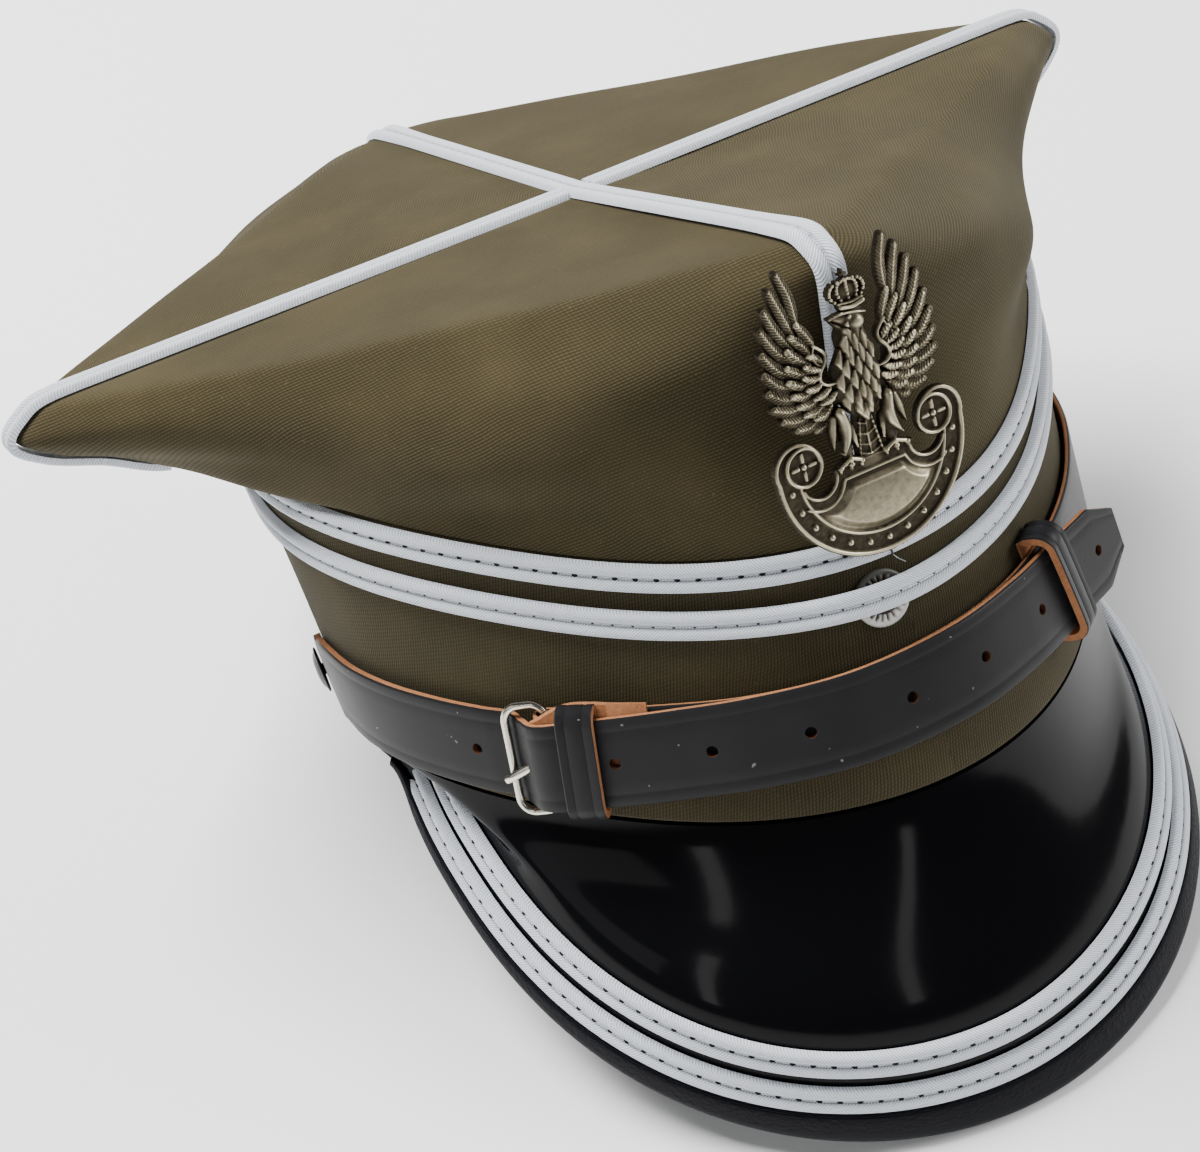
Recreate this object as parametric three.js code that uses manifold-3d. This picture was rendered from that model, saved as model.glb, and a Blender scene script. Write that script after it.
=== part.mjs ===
// Rogatywka: a four-cornered officer's cap with a peak, braid, chin strap and metal badge.
// Units are millimetres. The cap is built upright (front towards -Y, right side +X, +Z up from the
// lower edge of its band) and then leaned back until it rests on the peak and on the rear of the band.
import * as THREE from 'three';
import { mergeVertices } from 'three/addons/utils/BufferGeometryUtils.js';
import Module from 'manifold-3d';

const wasm = await Module();
wasm.setup();

// ---------------------------------------------------------------- driving dimensions

const GAP = 0.35;                       // air between pieces that lie on each other
const CLOTH = 2.0;                      // thickness of the cloth walls
const DEGREE = Math.PI / 180;

// Band: an oval ring. Its radius is a cosine series of the angle from the front.
const BAND = { radius: 90.3, height: 53.2, segments: 48 };
const BAND_OVAL = [1, 0.062, 0.162, -0.017, 0.006, 0.026];   // round, front bias, oval, egg, square, nose
const BAND_TAPER = [0.022, -0.141, -0.100, 0.032];           // change of radius for each mm of height
const BAND_WAVE = { rim: 4.3, rise: 0.075 };                 // the sides stand higher than front and back

const BRAID = { width: 5.4, thickness: 1.7, groove: 0.5 };
const RING_LEVELS = { upper: 50.2, lower: 40.8 };            // middles of the two rings round the band

// Crown: closed sections, from the band up to the upper rim. blend is 0 on the band's oval and 1 on the
// four-cornered outline; endBend and sideBend round its corners,
// sag lowers the middle of each side and roll lifts the right corner.
const CROWN_COLUMNS = [
  'blend', 'front', 'side', 'back', 'zFront', 'zSide', 'zBack', 'endBend', 'sideBend', 'sag', 'roll'];
const CROWN_SECTIONS = [
  [0.00, 102.0, 82.0, 100.0, 45.0, 61.6, 45.0, 60, 8, 0, 0],          // join, taken from the band
  [0.35, 99.0, 125.0, 105.0, 54.5, 63.6, 53.0, 60, 8, 0, 0],          // waist
  [1.00, 95.8, 107.5, 104.5, 70.0, 68.6, 66.0, 82, 8, 0, 0.002],      // flank
  [1.00, 97.0, 118.5, 107.0, 85.0, 74.0, 75.0, 66, 6, 1, 0.008],      // lower rim
  [1.00, 97.4, 123.4, 109.5, 93.6, 79.4, 78.6, 26, 5, 2, 0.016],      // nose
  [1.00, 91.5, 117.0, 103.0, 97.6, 85.2, 81.4, 12, 5, 2, 0.020],      // upper rim
].map((row) => Object.fromEntries(row.map((value, i) => [CROWN_COLUMNS[i], value])));
const CROWN_STEPS = [1, 2, 2, 2, 2];                         // facets between one section and the next
const NOSE_ROW = 4;                                          // the section that the columns are set out on
const CROWN_TOP = { height: 86.9, steps: 3 };
const CORNER = { sideSetback: 6.6, arcSteps: 3, lineSteps: 5 };

// Peak: its edge lies in one sloping plane; the surface rises from that plane by a tilt (degrees),
// a power series in the sine of the angle from the front.
const PEAK = {
  halfWidth: 75.0, widthExponent: 1.025, forward: 77.9, drop: 40.9, roundness: 0.876,
  originX: -2.2, originY: -50.2, originZ: -19.2, roll: 0.034, thickness: 2.2, bandAngle: 73, leave: 0.15,
};
const PEAK_TILT = [52.4, -17.0, 8.5, 13.1];
const PEAK_REACH = { plate: 112, corner: 101, outer: 101, innerLeft: 101, innerRight: 96, edging: 101 };    // degrees
const PEAK_STATIONS = 40;
const PEAK_BRAID_GAP = 2.2;
const EDGING = { width: 7.2, sideWidth: 4.0, leather: 1.0 };

// Chin strap: the long strap comes from the left button, the short one from the right. Each row is the
// angle from the front, the height of the strap's middle, and the distance of its inner face off the band.
const STRAP = { width: 17.4, thickness: 1.6, holeRadius: 1.1, tipLength: 7.5, tipWidth: 0.52 };
// Each button end is narrowed: share of the width, its length and the shoulder that leads to it.
const STRAP_NECK = { width: 0.58, length: 11.5, shoulder: 6.5 };
const STRAP_COLUMNS = ['angle', 'level', 'lift'];
const asStrapRows = (rows) => rows.map((row) => (
  Object.fromEntries(row.map((value, i) => [STRAP_COLUMNS[i], value]))));
const LONG_STRAP = asStrapRows([
  [-93, 5.6, 0.35], [-88, 5.8, 0.35], [-83, 7.6, 0.4], [-78, 9.7, 0.7], [-70, 10.4, 1.2],
  [-62, 10.9, 1.4], [-54, 11.4, 1.5], [-48, 11.8, 1.6],
  [-44.2, 12.1, 1.7], [-42.5, 12.3, 3.8], [-40.9, 12.7, 5.9], [-39.5, 13.2, 6.3], [-37.7, 13.6, 5.6],
  [-36.0, 14.0, 4.9], [-31.0, 15.6, 4.4], [-25.0, 17.2, 3.6], [-18.0, 18.7, 3.2], [-8, 20.4, 3.2],
  [3, 21.8, 3.2], [12, 22.0, 3.3], [18, 21.4, 3.8], [22, 20.9, 4.8], [26, 20.5, 6.8], [31, 20.4, 10.0],
]);
const SHORT_STRAP = asStrapRows([
  [93, 5.8, 0.35], [88, 6.2, 0.35], [83, 8.4, 0.4], [78, 11.0, 0.7], [66, 12.8, 0.8], [54, 14.4, 0.8],
  [42, 16.4, 0.9], [31, 19.0, 1.2], [22, 21.1, 1.3], [12, 22.0, 1.1], [3, 21.8, 1.1], [-8, 20.4, 1.1],
  [-18, 18.7, 0.9], [-28, 16.4, 0.6], [-36, 14.0, 0.5],
]);
const STRAP_HOLES = [-49.5, -32.3, -22.3, -13, -3.5, 5.6, 14.3, 26.6];
const BUCKLE = {
  heelAngle: -39.6, level: 13.4, slope: 0.15, length: 8.5, height: 21.8, wire: 0.8, corner: 3.2,
  heelLift: 3.0, barLift: 4.8,
};
const FOLD = { radius: 1.75, thickness: 1.2, length: 19, endThickness: 0.5 };
const TONGUE = { level: 12.3, width: 0.85, thickness: 0.6, clearance: 0.5 };
const KEEPERS = {
  keeper_buckle: { angle: -35.6, level: 14.0, slant: -2, lean: 9, inside: 19.9, width: 7.0, lift: 3.85, front: 7.0 },
  keeper_tip: { angle: 18.8, level: 21.4, slant: 9, lean: 0, inside: 21.4, width: 6.0, lift: 0.35, front: 6.3 },
};
const KEEPER_LEATHER = { back: 0.6, front: 1.3 };
const BUTTONS = { side_button_left: -88.5, side_button_right: 88.5 };      // angles from the front
const BUTTON = { radius: 4.9, dome: 1.5, rim: 0.5, shank: 1.3, root: -0.8, seat: 1.2 };

// Badge: an eagle on a crescent shield. u runs across it and v up from the shield's lowest point.
const BADGE = { u: -2.4, bottomZ: 42.4, bottomY: -106.9, lean: 4.4, plate: 1.1, post: 1.6 };
const SHIELD = {
  radius: 19.2, field: 15.1, fieldDepth: 0.9, dome: 1.3, barTop: 18.1, barBottom: 15.9, barHalf: 8.3,
  hornU: 13.2, hornV: 13.4, voluteU: 13.6, voluteV: 21.4, voluteRadius: 3.9,
};
const WING_COLUMNS = ['rootU', 'rootV', 'tipU', 'tipV', 'width'];
const WING_FEATHERS = [
  [5.6, 40.6, 10.9, 55.0, 3.0], [6.4, 39.4, 13.6, 51.8, 3.0], [7.0, 38.0, 15.4, 48.2, 3.0],
  [7.2, 36.6, 16.6, 44.4, 3.0], [7.1, 35.2, 17.0, 40.6, 3.0], [6.8, 34.0, 16.9, 36.9, 3.0],
  [6.2, 32.8, 16.2, 33.2, 3.0], [5.4, 31.8, 14.0, 29.0, 3.0],
].map((row) => Object.fromEntries(row.map((value, i) => [WING_COLUMNS[i], value])));
const EAGLE_COLUMNS = ['u', 'v', 'halfU', 'halfV', 'height'];
const EAGLE_FORMS = [
  [0.0, 33.0, 5.6, 8.2, 4.0],                                 // breast
  [0.6, 43.0, 2.6, 3.6, 3.2],                                 // neck
  [0.9, 46.4, 2.8, 2.8, 3.6],                                 // head
  [5.8, 39.8, 4.4, 3.4, 2.8], [-5.8, 39.8, 4.4, 3.4, 2.8],    // shoulders
  [4.6, 26.2, 2.9, 4.4, 3.0], [-4.6, 26.2, 2.9, 4.4, 3.0],    // thighs
  [5.7, 20.2, 1.9, 3.0, 2.4], [-5.7, 20.2, 1.9, 3.0, 2.4],    // claws
  [0.0, 21.4, 2.6, 4.6, 2.0],                                 // tail
].map((row) => Object.fromEntries(row.map((value, i) => [EAGLE_COLUMNS[i], value])));
const CROWNLET = { u: 1.2, v: 47.6, half: 3.0, rise: 3.0, depth: 2.4 };
const EYELET = { angle: -2.6, level: 39.8, radius: 5.4, thickness: 0.7, flutes: 16 };

// Degrees that the cap tips back and to its side as it lies on a flat surface.
const REST = { lean: 15.62, roll: 1.88 };

// ---------------------------------------------------------------- materials

const finish = (color, roughness, metalness = 0) => new THREE.MeshStandardMaterial({ color, roughness, metalness });
const cloth = finish(0x4e482d, 0.95);
const silverBraid = finish(0xc4c9cc, 0.75);
const patentLeather = finish(0x0b0b0c, 0.08);
const strapLeather = finish(0x2a2b2e, 0.5);
const edgingLeather = finish(0x18181c, 0.6);
const nickel = finish(0xc9c4b6, 0.25, 1);
const blackMetal = finish(0x1d1d1f, 0.4, 0);
const agedSilver = finish(0x8d8672, 0.4, 1);

// ---------------------------------------------------------------- mesh helpers

/** Closed mesh from vertices and faces; its triangles are turned to point outwards. */
function closedGeometry(points, faces) {
  const corner = (index) => points[index];
  let volume = 0;
  for (const [a, b, c] of faces) {
    volume += corner(a).dot(new THREE.Vector3().crossVectors(corner(b), corner(c)));
  }
  const outward = volume < 0 ? faces.map(([a, b, c]) => [a, c, b]) : faces;
  const geometry = new THREE.BufferGeometry();
  geometry.setAttribute('position', new THREE.Float32BufferAttribute(points.flatMap((p) => p.toArray()), 3));
  geometry.setIndex(outward.flat());
  geometry.computeVertexNormals();
  return geometry;
}

/** A skin and its lining, each a grid [row][column], joined along their edges into one wall. */
function wallGeometry(skin, lining, around = false) {
  const rows = skin.length;
  const columns = skin[0].length;
  const points = [...skin.flat(), ...lining.flat()];
  const at = (layer, i, j) => layer * rows * columns + i * columns + (j % columns);
  const faces = [];
  const quad = (a, b, c, d) => faces.push([a, b, c], [a, c, d]);
  const spans = around ? columns : columns - 1;
  for (let i = 0; i < rows - 1; i += 1) {
    for (let j = 0; j < spans; j += 1) {
      quad(at(0, i, j), at(0, i, j + 1), at(0, i + 1, j + 1), at(0, i + 1, j));
      quad(at(1, i, j), at(1, i + 1, j), at(1, i + 1, j + 1), at(1, i, j + 1));
    }
  }
  for (let j = 0; j < spans; j += 1) {
    quad(at(1, 0, j), at(1, 0, j + 1), at(0, 0, j + 1), at(0, 0, j));
    quad(at(0, rows - 1, j), at(0, rows - 1, j + 1), at(1, rows - 1, j + 1), at(1, rows - 1, j));
  }
  if (!around) {
    const last = columns - 1;
    for (let i = 0; i < rows - 1; i += 1) {
      quad(at(0, i, 0), at(0, i + 1, 0), at(1, i + 1, 0), at(1, i, 0));
      quad(at(1, i, last), at(1, i + 1, last), at(0, i + 1, last), at(0, i, last));
    }
  }
  return mergedGeometry(closedGeometry(points, faces));
}

/** Outward direction at each point of a grid whose rows run to the right and whose columns run up. */
function gridNormals(grid, around = false) {
  const columns = grid[0].length;
  const last = grid.length - 1;
  const before = (j) => (around ? (j + columns - 1) % columns : Math.max(j - 1, 0));
  const after = (j) => (around ? (j + 1) % columns : Math.min(j + 1, columns - 1));
  return grid.map((row, i) => row.map((_, j) => {
    const across = row[after(j)].clone().sub(row[before(j)]);
    const upward = grid[Math.min(i + 1, last)][j].clone().sub(grid[Math.max(i - 1, 0)][j]);
    return across.cross(upward).normalize();
  }));
}

/** Merges equal vertices and drops faces that have no area left. */
function mergedGeometry(geometry) {
  const bare = new THREE.BufferGeometry();
  bare.setAttribute('position', geometry.getAttribute('position'));
  bare.setIndex(geometry.getIndex());
  const merged = mergeVertices(bare, 1e-4);
  const index = Array.from(merged.getIndex().array);
  const kept = [];
  for (let i = 0; i < index.length; i += 3) {
    const [a, b, c] = index.slice(i, i + 3);
    if (a !== b && b !== c && c !== a) kept.push(a, b, c);
  }
  merged.setIndex(kept);
  merged.computeVertexNormals();
  return merged;
}

/** Sweeps a section through stations {point, side, up}; the ends are capped unless it closes. */
function sweepGeometry(section, stations, closes = false) {
  const count = section.length;
  const points = stations.flatMap((station) => {
    const { point, side, up, scale = 1, thin = 1 } = station;
    return (station.section || section).map(([x, y]) => (
      point.clone().addScaledVector(side, x * scale).addScaledVector(up, y * thin)));
  });
  const faces = [];
  const spans = closes ? stations.length : stations.length - 1;
  for (let i = 0; i < spans; i += 1) {
    for (let j = 0; j < count; j += 1) {
      const a = i * count + j;
      const b = i * count + ((j + 1) % count);
      const step = (((i + 1) % stations.length) - i) * count;
      faces.push([a, b, b + step], [a, b + step, a + step]);
    }
  }
  if (!closes) {
    const cap = THREE.ShapeUtils.triangulateShape(section.map(([x, y]) => new THREE.Vector2(x, y)), []);
    const end = (stations.length - 1) * count;
    const sign = sectionArea(section) > 0;
    for (const [a, b, c] of cap) {
      faces.push(sign ? [a, c, b] : [a, b, c]);
      faces.push(sign ? [end + a, end + b, end + c] : [end + a, end + c, end + b]);
    }
  }
  return closedGeometry(points, faces);
}

/** Twice the signed area of a section given as [x, y] pairs. */
function sectionArea(section) {
  return section.reduce((sum, [x, y], i) => {
    const [nextX, nextY] = section[(i + 1) % section.length];
    return sum + x * nextY - nextX * y;
  }, 0);
}

/** Gives each point of a course its side direction (across it) and its up direction (off the cloth). */
function withFrames(points, ups, closes = false) {
  const last = points.length - 1;
  return points.map((point, i) => {
    const before = points[closes ? (i + last) % points.length : Math.max(i - 1, 0)];
    const after = points[closes ? (i + 1) % points.length : Math.min(i + 1, last)];
    const along = after.clone().sub(before).normalize();
    const side = new THREE.Vector3().crossVectors(along, ups[i]).normalize();
    const up = new THREE.Vector3().crossVectors(side, along).normalize();
    return { point, side, up };
  });
}

/** manifold-3d solid of a geometry, and back. */
function toSolid(geometry) {
  const merged = mergedGeometry(geometry);
  return new wasm.Manifold(new wasm.Mesh({
    numProp: 3,
    vertProperties: new Float32Array(merged.getAttribute('position').array),
    triVerts: new Uint32Array(merged.getIndex().array),
  }));
}

function fromSolid(solid) {
  const mesh = solid.getMesh();
  const geometry = new THREE.BufferGeometry();
  geometry.setAttribute('position', new THREE.Float32BufferAttribute(mesh.vertProperties, 3));
  geometry.setIndex(Array.from(mesh.triVerts));
  geometry.computeVertexNormals();
  return geometry;
}

function named(name, geometry, material) {
  const mesh = new THREE.Mesh(geometry, material);
  mesh.name = name;
  return mesh;
}

const cosineSeries = (terms, angle) => terms.reduce((sum, term, n) => sum + term * Math.cos(n * angle), 0);
const mix = (a, b, t) => a + (b - a) * t;

// ---------------------------------------------------------------- band

/** Point on the band: angle from the front (radians, + to the right), height, distance off the cloth. */
function bandPoint(angle, level, off = 0) {
  const radius = BAND.radius * cosineSeries(BAND_OVAL, angle) + level * cosineSeries(BAND_TAPER, angle) + off;
  const wave = BAND_WAVE.rim + BAND_WAVE.rise * level;
  return new THREE.Vector3(
    radius * Math.sin(angle), -radius * Math.cos(angle), level - wave * Math.cos(2 * angle));
}

/** Direction straight off the band's cloth at an angle. */
function bandNormal(angle, level = 0) {
  const step = 0.01;
  const around = bandPoint(angle + step, level).sub(bandPoint(angle - step, level));
  const upward = bandPoint(angle, level + 1).sub(bandPoint(angle, level - 1));
  return around.cross(upward).normalize();
}

const ringAngles = Array.from({ length: BAND.segments }, (_, i) => (i / BAND.segments) * 2 * Math.PI);

function band() {
  const levels = [0, BAND.height];
  const skin = levels.map((level) => ringAngles.map((angle) => bandPoint(angle, level)));
  const lining = levels.map((level) => ringAngles.map((angle) => bandPoint(angle, level, -CLOTH)));
  return named('band', wallGeometry(skin, lining, true), cloth);
}

// ---------------------------------------------------------------- braid

/** Soutache: two humps with a groove between them. */
function braidSection() {
  const { width, thickness, groove } = BRAID;
  const half = width / 2;
  return [[-half, 0], [half, 0], [half * 0.8, thickness], [half * 0.25, thickness],
    [0, thickness - groove], [-half * 0.25, thickness], [-half * 0.8, thickness]];
}

/** A braid ring round the band; it lifts over the eyelet where that lies under it. */
function bandBraid(name, level, lift = 0) {
  const points = ringAngles.map((angle) => {
    const near = Math.exp(-((Math.sin((angle - EYELET.angle * DEGREE) / 2) / 0.09) ** 2));
    return bandPoint(angle, level, GAP + 0.25 + lift * near);
  });
  const ups = ringAngles.map((angle) => bandNormal(angle, level));
  return named(name, sweepGeometry(braidSection(), withFrames(points, ups, true), true), silverBraid);
}

// ---------------------------------------------------------------- crown

/** Outline of one section from an end corner (x = 0) to a side corner: an arc, a line and an arc. */
function cornerOutline({ end, side, endBend, sideBend }, setback) {
  const endCentre = new THREE.Vector2(0, -(end - endBend));
  const sideCentre = new THREE.Vector2(side - sideBend, setback);
  const between = sideCentre.clone().sub(endCentre);
  const along = between.clone().normalize();
  const lean = (endBend - sideBend) / between.length();
  const across = new THREE.Vector2(along.y, -along.x).multiplyScalar(Math.sqrt(1 - lean * lean));
  const turn = across.addScaledVector(along, lean).angle() - 2 * Math.PI;
  const outline = new THREE.Path();
  outline.absarc(endCentre.x, endCentre.y, endBend, -Math.PI / 2, turn, false);
  outline.absarc(sideCentre.x, sideCentre.y, sideBend, turn, 0, false);
  return outline;
}

/** Shares of the outline's length at which the crown has its columns, set out on the nose. */
function columnShares(outline) {
  const [endArc, line, sideArc] = outline.curves.map((curve) => curve.getLength());
  const total = endArc + line + sideArc;
  const { arcSteps, lineSteps } = CORNER;
  const part = (from, length, steps) => Array.from({ length: steps }, (_, i) => from + (length * i) / steps);
  return [...part(0, endArc, arcSteps), ...part(endArc, line, lineSteps),
    ...part(endArc + line, sideArc, arcSteps), total].map((length) => length / total);
}

/** The four quarters of the crown; toBack mirrors the front outline, sign picks the side. */
const QUARTERS = {
  crown_front_right: { toBack: false, sign: 1 },
  crown_back_right: { toBack: true, sign: 1 },
  crown_back_left: { toBack: true, sign: -1 },
  crown_front_left: { toBack: false, sign: -1 },
};

/** Points of one section over one quarter, from the end corner (front or back) to the side corner. */
function quarterSection(section, { toBack, sign }) {
  const flip = toBack ? -1 : 1;
  const zEnd = toBack ? section.zBack : section.zFront;
  const outlineOf = (row) => (
    cornerOutline({ ...row, end: toBack ? row.back : row.front }, flip * CORNER.sideSetback));
  const nose = outlineOf(CROWN_SECTIONS[NOSE_ROW]);
  const outline = outlineOf(section);
  return columnShares(nose).map((share) => {
    const guide = nose.getPointAt(share);
    const p = outline.getPointAt(share);
    const oval = bandPoint(Math.atan2(guide.x, -flip * guide.y), BAND.height + GAP);
    const x = mix(oval.x, p.x, section.blend);
    const y = mix(oval.y, p.y * flip, section.blend);
    const sag = section.sag * 4 * share * (1 - share) * (toBack ? -0.6 : 1);
    const z = section.blend === 0 ? oval.z : mix(zEnd, section.zSide, share) - sag;
    return new THREE.Vector3(sign * x, y, z + section.roll * sign * x);
  });
}

/** The whole crown surface as rows of points, column by column round the cap. */
function crownSkin() {
  const rings = CROWN_SECTIONS.map((section) => {
    const quarter = (name) => quarterSection(section, QUARTERS[name]);
    return [
      ...quarter('crown_front_right').slice(0, -1), ...quarter('crown_back_right').reverse().slice(0, -1),
      ...quarter('crown_back_left').slice(0, -1), ...quarter('crown_front_left').reverse().slice(0, -1),
    ];
  });
  const columns = rings[0].length;
  const rows = [];
  const lines = Array.from({ length: columns }, (_, j) => (
    new THREE.CatmullRomCurve3(rings.map((ring) => ring[j]), false, 'centripetal')));
  CROWN_STEPS.forEach((steps, span) => {
    for (let k = 0; k < steps; k += 1) {
      rows.push(lines.map((line) => line.getPoint((span + k / steps) / CROWN_STEPS.length)));
    }
  });
  const rim = rings.at(-1);
  const centre = new THREE.Vector3(0, 0, CROWN_TOP.height);
  for (let k = 0; k < CROWN_TOP.steps; k += 1) {
    rows.push(rim.map((point) => point.clone().lerp(centre, k / CROWN_TOP.steps)));
  }
  rows.push(rim.map(() => centre.clone()));
  return rows;
}

/** Outward directions on the crown: level at its lower edge, upright at its centre. */
function crownNormals(skin) {
  const normals = gridNormals(skin, true);
  normals[0].forEach((normal) => normal.setZ(0).normalize());
  normals.at(-1).forEach((normal) => normal.set(0, 0, 1));
  return normals;
}

const skin = crownSkin();
const skinNormals = crownNormals(skin);
const quarterColumns = 2 * CORNER.arcSteps + CORNER.lineSteps;

/** One cloth quarter of the crown, drawn back by half a gap from the seams on both sides. */
function crownPanel(name, index) {
  const { toBack, sign } = QUARTERS[name];
  const first = index * quarterColumns;
  const shift = new THREE.Vector3(sign, toBack ? 1 : -1, 0).multiplyScalar(GAP / 2);
  const pick = (depth) => skin.map((row, i) => Array.from({ length: quarterColumns + 1 }, (_, k) => {
    const j = (first + k) % row.length;
    return row[j].clone().addScaledVector(skinNormals[i][j], -depth).add(shift);
  }));
  return named(name, wallGeometry(pick(0), pick(CLOTH)), cloth);
}

/** Course of a seam braid up one corner of the crown and over its top, from a starting row. */
function seamCourse(column, firstRow, lastRow) {
  const rows = Array.from({ length: lastRow - firstRow + 1 }, (_, k) => firstRow + k);
  return rows.map((i) => ({
    point: skin[i][column].clone().addScaledVector(skinNormals[i][column], GAP),
    up: skinNormals[i][column],
  }));
}

function seamBraid(name, course) {
  const stations = withFrames(course.map((s) => s.point), course.map((s) => s.up));
  return named(name, sweepGeometry(braidSection(), stations), silverBraid);
}

function seamBraids() {
  const top = skin.length - 1;
  const centre = { point: skin[top][0].clone().add(new THREE.Vector3(0, 0, GAP)), up: skinNormals[top][0] };
  const front = seamCourse(0, 1, top - 1);
  const back = seamCourse(2 * quarterColumns, 1, top - 1);
  const sides = { seam_braid_right: quarterColumns, seam_braid_left: 3 * quarterColumns };
  const clear = BRAID.width / 2 + GAP;
  return [
    seamBraid('seam_braid_front_back', [...front, centre, ...back.reverse()]),
    ...Object.entries(sides).map(([name, column]) => {
      const course = seamCourse(column, 1, top - 1);
      const lastPoint = course.at(-1).point;
      const t = 1 - clear / Math.hypot(lastPoint.x, lastPoint.y);
      course.push({ point: lastPoint.clone().lerp(centre.point, t), up: centre.up });
      return seamBraid(name, course);
    }),
  ];
}

// ---------------------------------------------------------------- peak

/** Where the peak meets the band: the angle round the band for an angle of the peak. */
const peakSeat = (angle) => (angle * PEAK.bandAngle) / PEAK_REACH.plate;

/** How far an angle has turned from the peak's plane to its corner at the band, from 0 to 1. */
function cornerTurn(angle) {
  const past = Math.max(Math.abs(angle) / DEGREE - PEAK_REACH.corner, 0);
  const turn = Math.min(past / (PEAK_REACH.plate - PEAK_REACH.corner), 1);
  return turn * turn * (3 - 2 * turn);
}

/** Edge line of the peak: a curve in its sloping plane that turns up to the band at both corners. */
function peakEdge(angle) {
  const c = Math.cos(angle);
  const s = Math.sin(angle);
  const depth = Math.sign(c) * Math.abs(c) ** PEAK.roundness;
  const x = PEAK.originX + PEAK.halfWidth * Math.sign(s) * Math.abs(s) ** PEAK.widthExponent;
  const edge = new THREE.Vector3(
    x, PEAK.originY - PEAK.forward * depth, PEAK.originZ - PEAK.drop * depth + PEAK.roll * x);
  return edge.lerp(bandPoint(peakSeat(angle), -3.2, -1.2), cornerTurn(angle));
}

/** Width of the binding: widest in front, narrower along the sides, tapered off into the corners. */
function edgingWidth(angle) {
  const plain = mix(EDGING.sideWidth, EDGING.width, Math.max(Math.cos(angle), 0) ** 1.5);
  return mix(plain, EDGING.leather + GAP + 0.6, cornerTurn(angle));
}

/** Point, inward direction and outward direction of the peak's face at its edge line. */
function peakFrame(angle, inward = 0, off = 0) {
  const along = peakEdge(angle + 0.01).sub(peakEdge(angle - 0.01)).normalize();
  const plane = new THREE.Vector3(0, -PEAK.drop, PEAK.forward).normalize();
  const flat = plane.clone().cross(along).normalize();
  const tilt = PEAK_TILT.reduce((sum, term, n) => sum + term * Math.sin(angle) ** n, 0) * DEGREE;
  const side = flat.multiplyScalar(Math.cos(tilt)).addScaledVector(plane, Math.sin(tilt));
  const up = along.cross(side).normalize();
  return { point: peakEdge(angle).addScaledVector(side, inward).addScaledVector(up, off), side, up };
}

/** Angles at which every piece of the peak has its stations, within a reach to the left and right. */
const peakAngles = (left, right = left) => (
  Array.from({ length: PEAK_STATIONS + 1 }, (_, i) => mix(-PEAK_REACH.plate, PEAK_REACH.plate, i / PEAK_STATIONS))
    .filter((degrees) => degrees >= -left - 0.01 && degrees <= right + 0.01)
    .map((degrees) => degrees * DEGREE));

/** One column of the peak's face, from under the edging up to inside the band. */
function peakColumn(angle) {
  const seat = peakSeat(angle);
  const tuck = CLOTH + GAP + 0.4;
  const rim = bandPoint(seat, -1.5, -0.8);
  const braids = 2 * BRAID.width + PEAK_BRAID_GAP + 0.6;
  const room = (rim.z - peakEdge(angle).z - 1) / Math.max(peakFrame(angle).side.z, 0.2);
  const reach = Math.min(Math.max(room, 1), braids);
  const lip = edgingWidth(angle) - EDGING.leather - GAP;
  const start = peakFrame(angle, reach);
  const leave = bandNormal(seat).multiplyScalar(PEAK.leave).add(new THREE.Vector3(0, 0, -1)).normalize();
  const third = start.point.distanceTo(rim) / 3;
  const sweep = new THREE.CubicBezierCurve3(
    start.point, start.point.clone().addScaledVector(start.side, third),
    rim.clone().addScaledVector(leave, third), rim);
  return [
    peakFrame(angle, -lip).point, peakFrame(angle).point,
    sweep.getPoint(0), sweep.getPoint(0.33), sweep.getPoint(0.67), rim,
    bandPoint(seat, -0.9, -tuck), bandPoint(seat, 5, -tuck),
  ];
}

function peak() {
  const angles = peakAngles(PEAK_REACH.plate);
  const columns = angles.map(peakColumn);
  const face = columns[0].map((_, i) => columns.map((column) => column[i]));
  const normals = gridNormals(face);
  normals[0] = angles.map((angle) => peakFrame(angle).up);
  normals[1] = normals[0];
  const lining = face.map((row, i) => row.map((point, j) => (
    point.clone().addScaledVector(normals[i][j], -PEAK.thickness))));
  return named('peak', wallGeometry(face, lining), patentLeather);
}

function peakBraid(name, inward, left, right) {
  const stations = peakAngles(left, right).map((angle) => peakFrame(angle, inward, GAP));
  return named(name, sweepGeometry(braidSection(), stations), silverBraid);
}

/** Leather binding folded over the peak's edge. */
function peakEdging() {
  const { leather } = EDGING;
  const top = GAP + leather;
  const bottom = -PEAK.thickness - GAP - leather;
  const rings = peakAngles(PEAK_REACH.edging).map((angle) => {
    const width = edgingWidth(angle);
    const nose = width - leather;
    const room = 0.5 * cornerTurn(angle);
    const section = [[0, top + room], [-nose, top + room], [-width, (top + bottom) / 2],
      [-nose, bottom - room], [0, bottom - room], [0, bottom + leather - room],
      [-nose, bottom + leather - room], [-nose, top - leather + room], [0, top - leather + room]];
    return { section, ...peakFrame(angle, -GAP) };
  });
  return named('peak_edging', sweepGeometry(rings[0].section, rings), edgingLeather);
}

// ---------------------------------------------------------------- chin strap

/** Frames of a strap whose width runs down the band and whose outer face turns away from it. */
function strapFrames(points, reversed = false) {
  const last = points.length - 1;
  return points.map((point, i) => {
    const along = points[Math.min(i + 1, last)].clone().sub(points[Math.max(i - 1, 0)]).normalize();
    const angle = Math.atan2(point.x, -point.y);
    const down = bandPoint(angle, 10).sub(bandPoint(angle, 11)).multiplyScalar(reversed ? -1 : 1);
    const side = down.addScaledVector(along, -down.dot(along)).normalize();
    return { point, side, up: side.clone().cross(along).normalize() };
  });
}

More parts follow.
